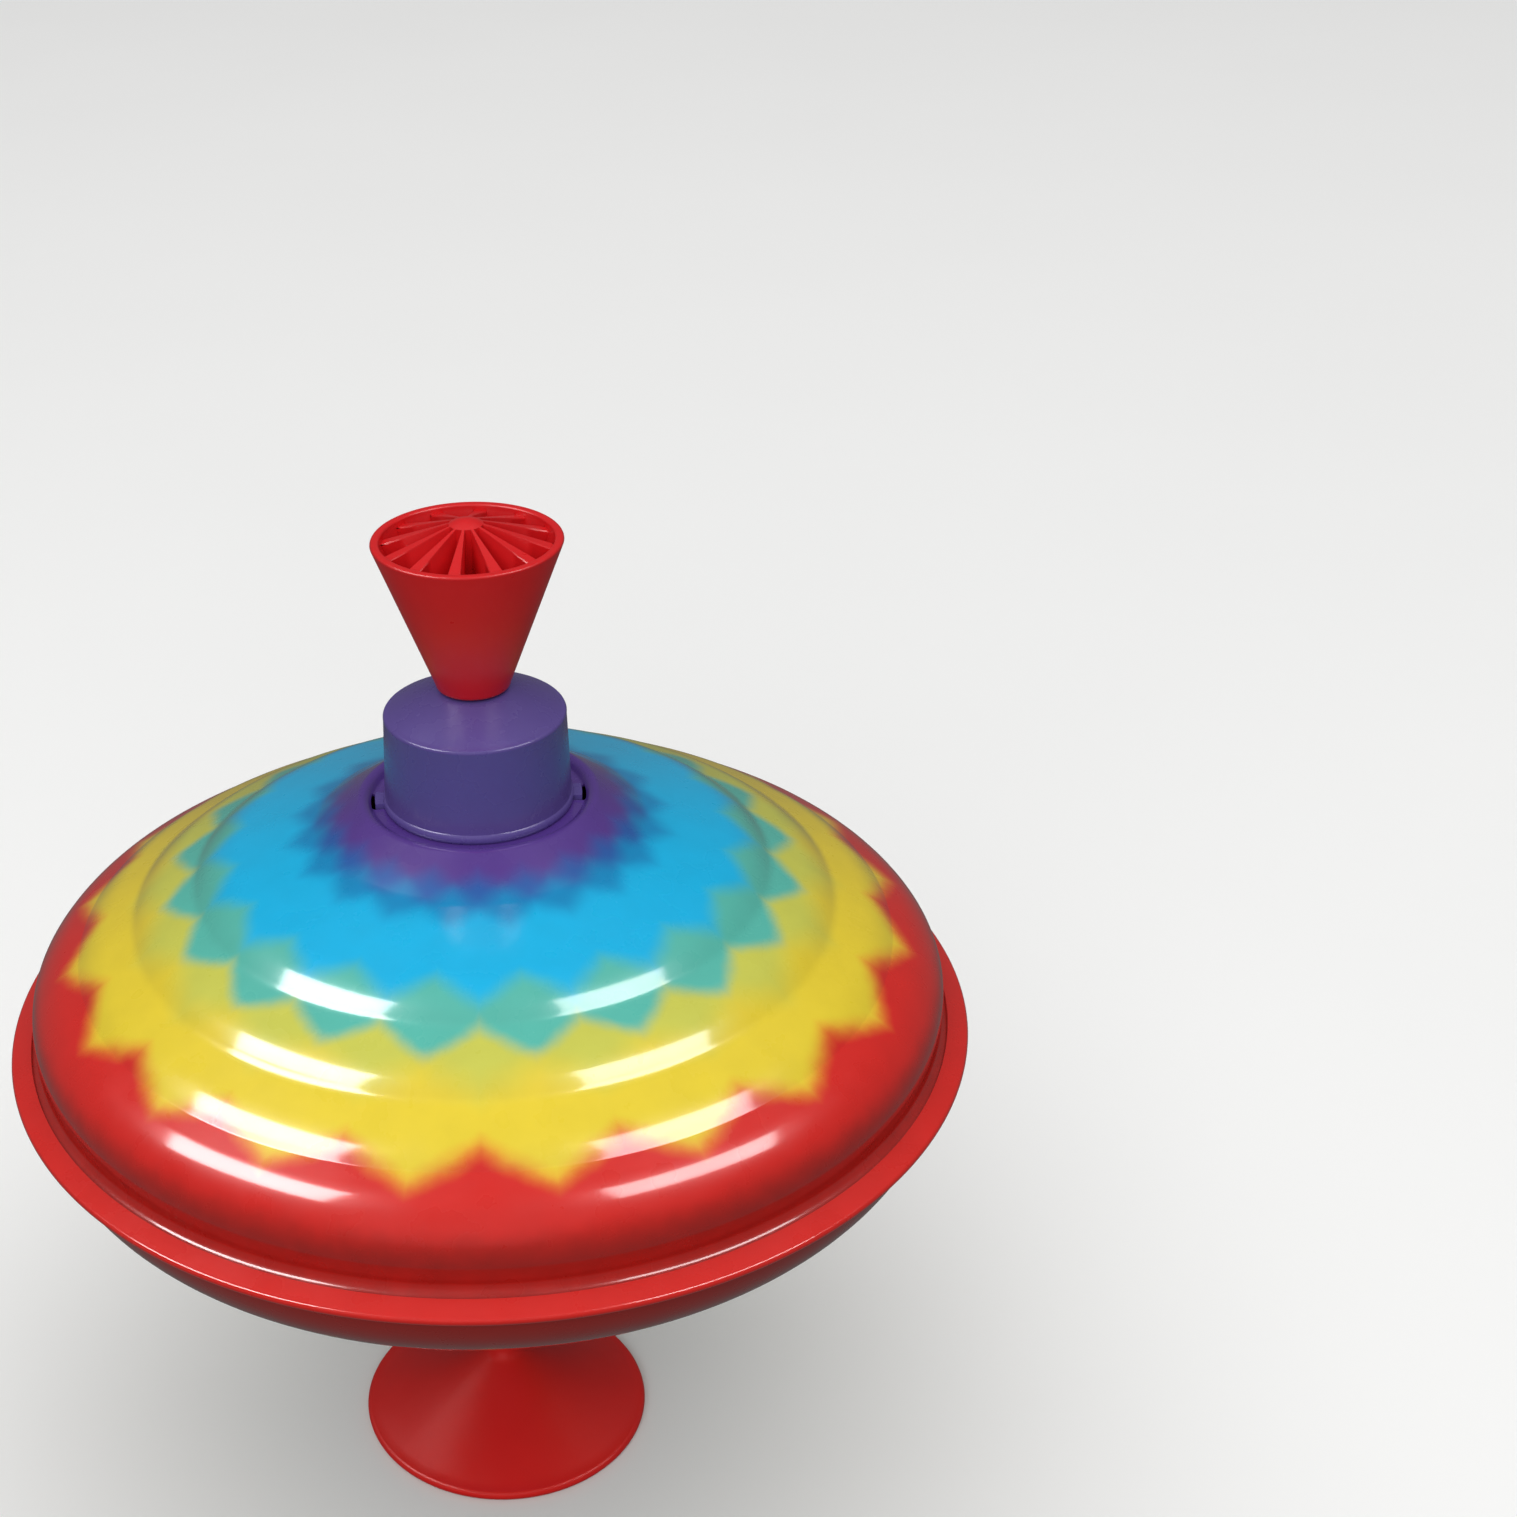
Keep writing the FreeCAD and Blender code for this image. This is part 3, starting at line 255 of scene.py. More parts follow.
def lathe(builder, section, windows=(), segments=SEGMENTS):
    """Turn a closed section about Z.

    A window is (from angle, to angle, range of front indices, range of back indices).
    """
    edges = [angle for window in windows for angle in window[:2]]
    angles = angle_stations(segments, edges)
    poles = {}
    rings = []
    for angle in angles:
        ring = []
        turn = math.radians(angle)
        for index, (across, up) in enumerate(section):
            if across < ON_AXIS:
                if index not in poles:
                    poles[index] = builder.verts.new((0, 0, up * MM))
                ring.append(poles[index])
            else:
                ring.append(builder.verts.new(point_at(across, up, turn)))
        rings.append(ring)

    def open_window(angle, next_angle):
        """The window that lies open between two neighbouring angles."""
        middle = (angle + (next_angle if next_angle > angle else next_angle + 360)) / 2
        for window in windows:
            start, end = window[0] % 360, window[1] % 360
            width = (end - start) % 360
            if 0 < (middle - start) % 360 < width:
                return window
        return None

    count = len(section)
    for step, angle in enumerate(angles):
        here, there = rings[step], rings[(step + 1) % len(rings)]
        window = open_window(angle, angles[(step + 1) % len(angles)])
        skipped = set()
        if window:
            for first, last in window[2:]:
                skipped.update(range(first, last))
            (front_first, front_last), (back_first, back_last) = window[2:]
            face(builder, here[front_first], there[front_first], there[back_last], here[back_last])
            face(builder, here[front_last], here[back_first], there[back_first], there[front_last])
        for index in range(count):
            if index in skipped:
                continue
            after = (index + 1) % count
            face(builder, here[index], here[after], there[after], there[index])
    for window in windows:
        (front_first, front_last), (back_first, back_last) = window[2:]
        for edge in window[:2]:
            wanted = round(edge % 360, ANGLE_DIGITS)
            ring = rings[min(range(len(angles)), key=lambda k: abs(angles[k] - wanted))]
            face(builder, *(ring[front_first:front_last + 1] + ring[back_first:back_last + 1]))


def turned_piece(name, section, material, body, slot, *replaced, windows=(), segments=SEGMENTS):
    """A whole piece turned from one section."""
    builder = bmesh.new()
    lathe(builder, section, windows, segments)
    return finish_mesh(name, builder, material, body, slot, *replaced)


def sector(builder, section, middle, width):
    """A closed section turned through part of a circle, with flat ends."""
    rings = [add_ring(builder, section, middle + width * (step / SECTOR_PARTS - 0.5))
             for step in range(SECTOR_PARTS + 1)]
    for here, there in zip(rings, rings[1:]):
        join_loops(builder, here, there)
    face(builder, *rings[0])
    face(builder, *rings[-1])


def window_range(section, front_length, inside):
    """The index ranges, on the front and on the back, of the points that lie inside a window."""
    on_front = [index for index in range(front_length) if inside(section[index])]
    on_back = [index for index in range(front_length, len(section)) if inside(section[index])]
    return (on_front[0], on_front[-1]), (on_back[0], on_back[-1])


# ---- materials ----

MIX_SHARE, MIX_FIRST, MIX_SECOND, MIX_RESULT = 0, 6, 7, 2
NOISE_LOW, NOISE_HIGH = 0.3, 0.7


def colour(red, green, blue):
    """A colour given as 0 to 255 screen values, as linear light by the sRGB curve."""
    linear = [value / 255 for value in (red, green, blue)]
    linear = [v / 12.92 if v <= 0.04045 else ((v + 0.055) / 1.055) ** 2.4 for v in linear]
    return (*linear, 1.0)


class Shader:
    """One material, and the nodes that paint it."""

    def __init__(self, name, **surface):
        self.material = bpy.data.materials.new(name)
        self.material.use_nodes = True
        self.tree = self.material.node_tree
        self.surface = self.tree.nodes["Principled BSDF"]
        self.coordinates = self.node("ShaderNodeTexCoord").outputs["Object"]
        for socket, value in surface.items():
            self.surface.inputs[socket.replace("_", " ")].default_value = value

    def node(self, kind, **settings):
        """A new shader node with its settings."""
        node = self.tree.nodes.new(kind)
        for name, value in settings.items():
            setattr(node, name, value)
        return node

    def give(self, socket, value):
        """Link a socket, or set it to a plain value."""
        if isinstance(value, bpy.types.NodeSocket):
            self.tree.links.new(value, socket)
        else:
            socket.default_value = value

    def paint(self, socket, value):
        """Drive one of the surface's own sockets."""
        self.give(self.surface.inputs[socket], value)

    def math(self, operation, *values):
        """The result of a sum on sockets or plain values."""
        node = self.node("ShaderNodeMath", operation=operation)
        for socket, value in zip(node.inputs, values):
            self.give(socket, value)
        return node.outputs[0]

    def mix(self, share, first, second, blend="MIX"):
        """Two colours mixed by a share of the second."""
        node = self.node("ShaderNodeMix", data_type="RGBA", blend_type=blend)
        self.give(node.inputs[MIX_SHARE], share)
        self.give(node.inputs[MIX_FIRST], first)
        self.give(node.inputs[MIX_SECOND], second)
        return node.outputs[MIX_RESULT]

    def noise(self, scale, detail, stretch=None):
        """Soft noise fixed to the piece, its usual values from NOISE_LOW to NOISE_HIGH."""
        node = self.node("ShaderNodeTexNoise")
        where = self.coordinates
        if stretch:
            mapping = self.node("ShaderNodeMapping")
            self.give(mapping.inputs["Vector"], where)
            mapping.inputs["Scale"].default_value = stretch
            where = mapping.outputs[0]
        self.give(node.inputs["Vector"], where)
        node.inputs["Scale"].default_value = scale
        node.inputs["Detail"].default_value = detail
        return node.outputs["Fac"]

    def remap(self, value, from_low, from_high, to_low=0.0, to_high=1.0, smooth=False):
        """A value stretched from one range onto another, and held at its ends."""
        node = self.node("ShaderNodeMapRange", interpolation_type="SMOOTHSTEP" if smooth else "LINEAR")
        for socket, given in zip(node.inputs, (value, from_low, from_high, to_low, to_high)):
            self.give(socket, given)
        return node.outputs[0]

    def spread(self, noise, low, high):
        """A noise's usual range spread from low to high."""
        return self.remap(noise, NOISE_LOW, NOISE_HIGH, low, high)

    def bump(self, height, distance, strength):
        """Relief too fine to model, in metres."""
        node = self.node("ShaderNodeBump")
        node.inputs["Strength"].default_value = strength
        node.inputs["Distance"].default_value = distance
        self.give(node.inputs["Height"], height)
        self.paint("Normal", node.outputs[0])

    def polar(self):
        """Radius in millimetres, azimuth in degrees from the front, and height in millimetres."""
        axes = self.node("ShaderNodeSeparateXYZ")
        self.give(axes.inputs[0], self.coordinates)
        x, y, z = axes.outputs
        squares = self.math("ADD", self.math("MULTIPLY", x, x), self.math("MULTIPLY", y, y))
        radius = self.math("MULTIPLY", self.math("SQRT", squares), 1 / MM)
        back = self.math("MULTIPLY", y, -1.0)
        azimuth = self.math("MULTIPLY", self.math("ARCTAN2", x, back), math.degrees(1))
        return radius, azimuth, self.math("MULTIPLY", z, 1 / MM)


TEETH = 20
TOOTH_PITCH = 360 / TEETH
TOOTH_START = -1.75
WOBBLE = 1.5


class Print:
    """Rainbow bands laid over one another, with soft or toothed edges, all in millimetres."""

    def __init__(self, shader, along, azimuth, first):
        self.shader = shader
        grain = shader.math("SUBTRACT", shader.noise(260.0, detail=4.0), 0.5)
        self.along = shader.math("ADD", along, shader.math("MULTIPLY", grain, WOBBLE))
        self.azimuth = azimuth
        self.colour = INK[first]

    def band(self, ink, tip, valley, soft, shifted=False):
        """Lay an ink past an edge that runs from tip to valley and back in each tooth.

        A shifted band's teeth stand half a tooth round from the others'.
        """
        shader = self.shader
        start = TOOTH_START + (TOOTH_PITCH / 2 if shifted else 0.0)
        phase = shader.math("MULTIPLY", shader.math("SUBTRACT", self.azimuth, start), 2 / TOOTH_PITCH)
        share = shader.math("PINGPONG", phase, 1.0)
        edge = shader.math("ADD", shader.math("MULTIPLY", share, valley - tip), tip)
        beyond = shader.math("SUBTRACT", self.along, edge)
        cover = shader.remap(beyond, -soft, soft, smooth=True)
        self.colour = shader.mix(cover, self.colour, INK[ink])


INK = {
    "violet": colour(88, 58, 142),
    "indigo": colour(40, 92, 168),
    "deep blue": colour(5, 138, 195),
    "cyan": colour(8, 182, 232),
    "teal": colour(88, 188, 172),
    "lime": colour(205, 206, 84),
    "yellow": colour(236, 210, 52),
    "orange": colour(232, 140, 42),
    "red": colour(214, 36, 30),
    # Painted shade: this darker red stands for the shade in the cove under the dome's shoulder and on the
    # lower shell under the bead.
    "painted shade red": colour(164, 34, 28),
}
COATED = {"Coat_Weight": 1.0, "Coat_Roughness": 0.1, "Coat_IOR": 1.5, "IOR": 1.5, "Specular_IOR_Level": 0.25}
SATIN = {"IOR": 1.5, "Specular_IOR_Level": 0.45}
EVEN = (1.0, 1.0, 1.0)
DRAWN = (1.0, 1.0, 0.08)
FINE_RELIEF = 0.00002


def varnish(shader):
    """The clear coat over printed tin, with faint ripple and unevenness of the ink."""
    shader.bump(shader.noise(30.0, detail=1.0), distance=0.0003, strength=0.12)
    shader.paint("Roughness", shader.spread(shader.noise(140.0, detail=4.0), low=0.24, high=0.34))


def shade(shader, paint, amount=0.06, scale=180.0):
    """Slight mottling of a colour."""
    noise = shader.noise(scale, detail=5.0)
    light = shader.remap(noise, from_low=0.25, from_high=0.75, to_low=1.0 - amount)
    factor = shader.node("ShaderNodeCombineColor")
    for socket in factor.inputs:
        shader.give(socket, light)
    return shader.mix(1.0, paint, factor.outputs[0], "MULTIPLY")


def upper_tin():
    """The upper shell's print, laid by radius from the collar outwards, with painted shade darkening the
    cove by the hem.
    """
    shader = Shader("upper_tin_print", Metallic=0.0, **COATED)
    radius, azimuth, _ = shader.polar()
    inks = Print(shader, radius, azimuth, "violet")
    inks.band("indigo", tip=25.6, valley=27.4, soft=2.4)
    inks.band("deep blue", tip=28.0, valley=30.4, soft=2.4, shifted=True)
    inks.band("cyan", tip=31.6, valley=34.6, soft=2.8)
    inks.band("teal", tip=45.6, valley=50.2, soft=2.6, shifted=True)
    inks.band("lime", tip=53.4, valley=59.0, soft=2.2)
    inks.band("yellow", tip=60.0, valley=64.0, soft=4.0, shifted=True)
    inks.band("orange", tip=71.4, valley=77.0, soft=2.2)
    inks.band("red", tip=73.0, valley=78.6, soft=2.0)
    # Painted shade: past the dome's shoulder the cove is darkened with the deep red ink.
    inks.band("painted shade red", tip=84.4, valley=84.4, soft=1.8)
    shader.paint("Base Color", shade(shader, inks.colour))
    varnish(shader)
    return shader.material


def lower_tin():
    """The lower shell's print, laid by the drop below the rim, with painted shade darkening it under the
    bead.
    """
    shader = Shader("lower_tin_print", Metallic=0.0, **COATED)
    _, azimuth, up = shader.polar()
    drop = shader.math("SUBTRACT", rim_height, up)
    inks = Print(shader, drop, azimuth, "red")
    # Painted shade: below the bead the red turns to the deep red ink, for the shade under the overhang.
    inks.band("painted shade red", tip=1.6, valley=1.6, soft=0.6)
    inks.band("orange", tip=10.6, valley=14.6, soft=1.2)
    inks.band("yellow", tip=11.6, valley=15.6, soft=1.2)
    inks.band("teal", tip=30.0, valley=34.0, soft=1.4)
    inks.band("cyan", tip=34.0, valley=37.0, soft=1.4)
    shader.paint("Base Color", shade(shader, inks.colour))
    varnish(shader)
    return shader.material


def moulded(name, ink, roughness):
    """Injection-moulded plastic with a fine satin grain and slightly uneven gloss."""
    shader = Shader(name, **SATIN)
    shader.paint("Base Color", shade(shader, ink, amount=0.05, scale=120.0))
    shader.bump(shader.noise(2600.0, detail=3.0), FINE_RELIEF, strength=0.5)
    gloss = shader.noise(160.0, detail=4.0)
    shader.paint("Roughness", shader.spread(gloss, low=roughness - 0.05, high=roughness + 0.06))
    return shader.material


def metal(name, ink, roughness, stretch=EVEN):
    """Bare metal with fine drawn or turned marks."""
    shader = Shader(name, Metallic=1.0)
    shader.paint("Base Color", shade(shader, ink, amount=0.12, scale=400.0))
    marks = shader.noise(900.0, detail=4.0, stretch=stretch)
    shader.bump(marks, FINE_RELIEF, strength=0.4)
    shader.paint("Roughness", shader.spread(marks, low=roughness - 0.06, high=roughness + 0.1))
    return shader.material


HEM_DROP = 2.4
rim_height = high("lower_shell") - HEM_DROP
materials = {
    "upper_tin": upper_tin(),
    "lower_tin": lower_tin(),
    "red_plastic": moulded("red_plastic_satin", colour(212, 26, 30), roughness=0.32),
    # Painted light: the foot's red is a lighter copy of the red plastic, brightened to make up for the shade
    # it stands in under the top.
    "painted_light_foot": moulded("painted_light_foot_satin", colour(226, 30, 26), roughness=0.38),
    "purple_plastic": moulded("purple_plastic_satin", colour(94, 78, 148), roughness=0.27),
    "blue_plastic": moulded("blue_plastic_satin", colour(30, 158, 222), roughness=0.34),
    "white_nylon": moulded("white_nylon_satin", colour(228, 226, 214), roughness=0.42),
    "polished_steel": metal("polished_steel_drawn", colour(205, 207, 210), roughness=0.16, stretch=DRAWN),
    "spring_steel": metal("spring_steel_turned", colour(128, 131, 136), roughness=0.3),
    "zinc_steel": metal("zinc_steel_turned", colour(182, 186, 190), roughness=0.34),
    "brass": metal("brass_turned", colour(214, 176, 96), roughness=0.26),
}
for entry in frame["record"]["subparts"]:
    node = nodes[entry["node"]]
    node.data.materials.clear()
    node.data.materials.append(materials[entry["material_slot"]])

# ---- tin shells: a path is a list of moves, as trace takes them ----

rim_radius = high("lower_shell", 0)
seat = low("lower_shell")
shelf = high("centre_tube")
SHELL_SEGMENTS = 480
SLACK = 1e-6

HEM_FALL, HEM_RUN, HEM_RETURN, HEM_BEND, BEAD_RADIUS = 20.0, 3.5, 1.2, 0.9, 0.75
WALL_FALL, WALL_RUN, SHOULDER_RADIUS, BOWL_FALL = 94.0, 2.2, 14.0, 156.0
SEAT_BEND, SEAT_RUN, SEAT_HOLE_RADIUS = 3.0, 3.0, 14.8
VENTS, VENT_PITCH, VENT_WIDTH, VENT_HEIGHT = 6, 9.3, 2.0, 8.0
VENT_DROP, VENT_INSET, VENT_ZONE_RADIUS = 2.6, 4.0, 70.0

TOP_HOLE_RADIUS, SHELF_RUN, SHELF_BEND, SHELF_RISE, SHELF_FLANK = 9.2, 9.7, 0.8, -50.0, 0.7
CREST_RADIUS, CREST_FALL, CREST_RUN, COVE_RADIUS = 1.6, 34.0, 8.7, 6.0
DOME_FALL, STEP_FALL, STEP_BEND = 16.3, 45.0, 5.7
INNER_STEP_RADIUS, MIDDLE_FALL, MIDDLE_RUN = 17.0, 22.0, 5.0
MIDDLE_STEP_RADIUS, OUTER_FALL, OUTER_RUN = 16.0, 24.0, 4.5
OUTER_STEP_RADIUS, OUTER_STEP_FALL, OUTER_STEP_RUN = 18.0, 42.0, 0.9
CREASE_RADIUS, CREASE_FALL, CREASE_RUN = 1.5, 28.0, 2.9
BAND_RADIUS, BAND_FALL, BAND_EDGE_RADIUS = 16.0, 55.0, 7.5
UNDERCUT_FALL, UNDERCUT_RUN = 100.0, 2.89
FLANGE_BEND, FLANGE_RUN, FLANGE_GAP, FLANGE_END_GAP = 2.0, 2.76, 0.075, 0.95
SLOT_INNER, SLOT_OUTER, SLOT_ARC = 17.2, 19.6, 17.0
BOTH_SIDES = (0.0, 180.0)

hem_across, hem_down = math.cos(math.radians(HEM_FALL)), math.sin(math.radians(HEM_FALL))
hem_start_radius = rim_radius - BEAD_RADIUS + BEAD_RADIUS * hem_down - HEM_RUN * hem_across


def lower_moves(bowl_run):
    """The lower shell from the start of its hem, round the bead and down the bowl to the seat."""
    return [
        (HEM_RUN,), (BEAD_RADIUS, HEM_FALL + LEVEL_BACK), (HEM_RETURN,), (HEM_BEND, WALL_FALL), (WALL_RUN,),
        (SHOULDER_RADIUS, BOWL_FALL), (bowl_run,), (SEAT_BEND, LEVEL_BACK), (SEAT_RUN,),
    ]


def upper_moves(dome_run):
    """The upper shell from its hole over the shelf, crest and stepped dome to the flange in the hem."""
    return [
        (SHELF_RUN,), (SHELF_BEND, SHELF_RISE), (SHELF_FLANK,),
        (CREST_RADIUS, CREST_FALL), (CREST_RUN,), (COVE_RADIUS, DOME_FALL), (dome_run,),
        (INNER_STEP_RADIUS, STEP_FALL), (STEP_BEND, MIDDLE_FALL), (MIDDLE_RUN,),
        (MIDDLE_STEP_RADIUS, STEP_FALL), (STEP_BEND, OUTER_FALL), (OUTER_RUN,),
        (OUTER_STEP_RADIUS, OUTER_STEP_FALL), (OUTER_STEP_RUN,),
        (CREASE_RADIUS, CREASE_FALL), (CREASE_RUN,),
        (BAND_RADIUS, BAND_FALL), (BAND_EDGE_RADIUS, UNDERCUT_FALL), (UNDERCUT_RUN,),
        (FLANGE_BEND, HEM_FALL), (FLANGE_RUN,),
    ]


def with_window(section, front_length, axis, limits, inside):
    """A section with points at a window's limits, and the index ranges of the window."""
    front, back = section[:front_length], section[front_length:]
    for limit in limits:
        front = split(front, axis, limit)
        back = split(back, axis, limit)
    section = front + back
    return section, window_range(section, len(front), inside)


lower_path = close_reach(HEM_FALL, lower_moves, SEAT_HOLE_RADIUS - hem_start_radius, BOWL_FALL)
hem_start_height = seat - trace((0, 0), HEM_FALL, lower_path)[-1][1]
lower_section, lower_front = sheet_section((hem_start_radius, hem_start_height), HEM_FALL, lower_path)
vent_top = hem_start_height - HEM_RUN * hem_down - BEAD_RADIUS - VENT_DROP
vent_base = vent_top - VENT_HEIGHT
lower_section, vent_ranges = with_window(
    lower_section, lower_front, 1, (vent_base, vent_top),
    lambda point: point[0] > VENT_ZONE_RADIUS and vent_base - SLACK <= point[1] <= vent_top + SLACK)
vent_angle = math.degrees(VENT_WIDTH / (rim_radius - VENT_INSET))
vents = []
for side in BOTH_SIDES:
    for vent in range(VENTS):
        middle = side + VENT_PITCH * (vent - (VENTS - 1) / 2)
        vents.append((middle - vent_angle / 2, middle + vent_angle / 2, *vent_ranges))
turned_piece("lower_shell_tin", lower_section, materials["lower_tin"], "spinner", "lower_tin", "lower_shell",
             windows=vents, segments=SHELL_SEGMENTS)

flange_end_radius = (hem_start_radius + (HEM_RUN - FLANGE_END_GAP) * hem_across
                     - (TIN + FLANGE_GAP) * hem_down)
upper_path = close_reach(0.0, upper_moves, flange_end_radius - TOP_HOLE_RADIUS, DOME_FALL)
upper_section, upper_front = sheet_section((TOP_HOLE_RADIUS, shelf), 0.0, upper_path)
upper_section, slot_ranges = with_window(
    upper_section, upper_front, 0, (SLOT_INNER, SLOT_OUTER),
    lambda point: SLOT_INNER - SLACK <= point[0] <= SLOT_OUTER + SLACK)
slots = [(side - SLOT_ARC / 2, side + SLOT_ARC / 2, *slot_ranges) for side in BOTH_SIDES]
turned_piece("upper_shell_tin", upper_section, materials["upper_tin"], "spinner", "upper_tin", "upper_shell",
             windows=slots, segments=SHELL_SEGMENTS)

# ---- collar, with two hooked tongues ----

collar_top = high("collar")
COLLAR_FOOT_RADIUS, COLLAR_TOP_RADIUS, COLLAR_WALL_HEIGHT = 17.0, 16.4, 17.9
COLLAR_BEAD, COLLAR_BEAD_HEIGHT = 0.4, 1.8
EDGE_LEAN, EDGE_DROP, EDGE_REACH, EDGE_RISE, EDGE_ROUND = 0.02, 0.62, 0.56, 0.26, 0.66
ROOF_FLAT_RADIUS, ROOF_CURVE_RADIUS, ROOF_CENTRE_WALL, ROOF_PARTS = 6.8, 60.0, 1.84, 14
GUIDE_RADIUS = 5.0
TONGUE_ROOT, TONGUE_INNER, TONGUE_THICKNESS, TONGUE_HEIGHT, TONGUE_ARC = 16.2, 17.25, 1.6, 0.8, 14.0
TONGUE_HOOK, TONGUE_HOOK_REACH = 0.85, 1.4


def collar_section():
    """The foot's bead, the leaning wall, the rounded edge and the low domed roof."""
    wall_top = shelf + COLLAR_WALL_HEIGHT
    bead_middle = shelf + COLLAR_BEAD_HEIGHT / 2
    bead_round = bulge_radius(COLLAR_BEAD_HEIGHT / 2, COLLAR_BEAD)
    points = [(COLLAR_FOOT_RADIUS - MOULDED_WALL, shelf), (COLLAR_FOOT_RADIUS, shelf)]
    arc_to(points, (COLLAR_FOOT_RADIUS + COLLAR_BEAD, bead_middle), bead_round)
    arc_to(points, (COLLAR_FOOT_RADIUS, shelf + COLLAR_BEAD_HEIGHT), bead_round)
    points.append((COLLAR_TOP_RADIUS + EDGE_LEAN, wall_top - EDGE_DROP))
    arc_to(points, (COLLAR_TOP_RADIUS - EDGE_REACH, wall_top + EDGE_RISE), EDGE_ROUND)
    arc_to(points, (ROOF_FLAT_RADIUS, collar_top), ROOF_CURVE_RADIUS, ROOF_PARTS)
    points += [(GUIDE_RADIUS, collar_top), (GUIDE_RADIUS, collar_top - ROOF_CENTRE_WALL)]
    points.append((COLLAR_TOP_RADIUS - MOULDED_WALL, wall_top - MOULDED_WALL))
    return points


def tongue_section():
    """A tongue that goes down through the shell's slot and hooks under it."""
    hook_top = shelf - TIN - PRESS_GAP
    hook_base = hook_top - TONGUE_HOOK
    tongue_top = shelf + TONGUE_HEIGHT
    outer = TONGUE_INNER + TONGUE_THICKNESS
    tip = TONGUE_INNER - TONGUE_HOOK_REACH
    return [(TONGUE_ROOT, shelf), (TONGUE_INNER, shelf), (TONGUE_INNER, hook_top), (tip, hook_top),
            (tip, hook_base), (outer, hook_base), (outer, tongue_top), (TONGUE_ROOT, tongue_top)]


builder = bmesh.new()
lathe(builder, collar_section())
for side in BOTH_SIDES:
    sector(builder, tongue_section(), side, TONGUE_ARC)
finish_mesh("collar_moulding", builder, materials["purple_plastic"], "spinner", "purple_plastic", "collar")

# ---- knob: a cone whose crown is cut into pockets between wedge ribs ----

knob_base, hub_top = low("knob"), high("knob")
KNOB_BASE_RADIUS, KNOB_RADIUS, KNOB_CONE_HEIGHT, KNOB_LIP = 6.4, 16.8, 27.8, 0.5
KNOB_BORE, KNOB_BORE_DEPTH, KNOB_FLOOR = 2.45, 10.4, 1.5
BASE_ROUND, BASE_ROUND_HEIGHT, BASE_ROUND_RADIUS = 0.8, 0.9, 0.95
HUB_RADIUS, HUB_DOME, HUB_ROUND = 3.0, 0.9, 0.4
KNOB_RIBS, RIB_ANGLE, RIB_TURN, RIB_EASE_ANGLE, RIB_TOP_ANGLES = 12, 9.5, 20.0, 0.7, (-2.0, 0.0, 2.0)
RIB_INSET, RIB_DROP, RIB_EASE_DROP = 0.1, 0.7, 0.22
POCKET_EDGE_DROP, POCKET_LEAN, POCKET_ROUND, FLOOR_ROUND, FLOOR_SAG = 0.05, 0.2, 0.6, 0.8, 0.01
WALL_PARTS, FLOOR_PARTS, HUB_PARTS, POCKET_PARTS = 4, 2, 3, 8
knob_top = knob_base + KNOB_CONE_HEIGHT
knob_floor = knob_base + KNOB_BORE_DEPTH + KNOB_FLOOR
dome_base = hub_top - HUB_DOME
crown_radius = KNOB_RADIUS - MOULDED_WALL
Ring = collections.namedtuple("Ring", "angle outer crown hub")


def knob_radius(height):
    """The cone's outside radius at a height."""
    share = (height - knob_base) / (knob_top - knob_base)
    return KNOB_BASE_RADIUS + (KNOB_RADIUS - KNOB_BASE_RADIUS) * share


def knob_outside():
    """The blind bore, the base, the cone and the lip, up to the pocket's upper edge."""
    bore_top = knob_base + KNOB_BORE_DEPTH
    round_top = knob_base + BASE_ROUND_HEIGHT
    points = [(0.0, bore_top), (KNOB_BORE, bore_top), (KNOB_BORE, knob_base)]
    points.append((KNOB_BASE_RADIUS - BASE_ROUND, knob_base))
    arc_to(points, (knob_radius(round_top), round_top), BASE_ROUND_RADIUS)
    points.append((KNOB_RADIUS, knob_top))
    arc_to(points, (KNOB_RADIUS - KNOB_LIP, knob_top + KNOB_LIP), KNOB_LIP)
    points.append((crown_radius + KNOB_LIP, knob_top + KNOB_LIP))
    arc_to(points, (crown_radius, knob_top), KNOB_LIP)
    return points


def pocket_across():
    """Down the wall, over the floor and up the hub to its dome."""
    floor_radius = knob_radius(knob_floor) - MOULDED_WALL
    wall = [(crown_radius - POCKET_LEAN, knob_top - POCKET_ROUND), (floor_radius, knob_floor)]
    floor = [(floor_radius - FLOOR_ROUND, knob_floor - FLOOR_SAG), (HUB_RADIUS + HUB_ROUND, knob_floor)]
    hub = [(HUB_RADIUS, knob_floor + HUB_ROUND), (HUB_RADIUS, dome_base)]
    edge = [(crown_radius, knob_top - POCKET_EDGE_DROP)]
    return edge + along(wall, WALL_PARTS) + along(floor, FLOOR_PARTS) + along(hub, HUB_PARTS)


pocket_line = pocket_across()
rib_top = [(crown_radius - RIB_INSET, knob_top - RIB_DROP), (HUB_RADIUS, dome_base)]
rib_line = [pocket_line[0]] + along(rib_top, len(pocket_line) - 2)
eased_line = [(across, up - RIB_EASE_DROP) for across, up in rib_line]
eased_line[0], eased_line[-1] = rib_line[0], rib_line[-1]
hub_line = arc_to([(HUB_RADIUS, dome_base)], (0.0, hub_top), bulge_radius(HUB_RADIUS, HUB_DOME))[1:]


def knob_stations():
    """Angles round the knob, each with its line over the crown. A rib's flank is two lines at one angle."""
    gap = 360 / KNOB_RIBS - RIB_ANGLE
    stations = []
    for rib in range(KNOB_RIBS):
        middle = RIB_TURN + 360 / KNOB_RIBS * rib
        start = middle - RIB_ANGLE / 2
        end = middle + RIB_ANGLE / 2
        stations += [(start, pocket_line), (start, eased_line), (start + RIB_EASE_ANGLE, rib_line)]
        stations += [(middle + step, rib_line) for step in RIB_TOP_ANGLES]
        stations += [(end - RIB_EASE_ANGLE, rib_line), (end, eased_line), (end, pocket_line)]
        stations += [(end + gap * step / POCKET_PARTS, pocket_line) for step in range(1, POCKET_PARTS)]
    return stations


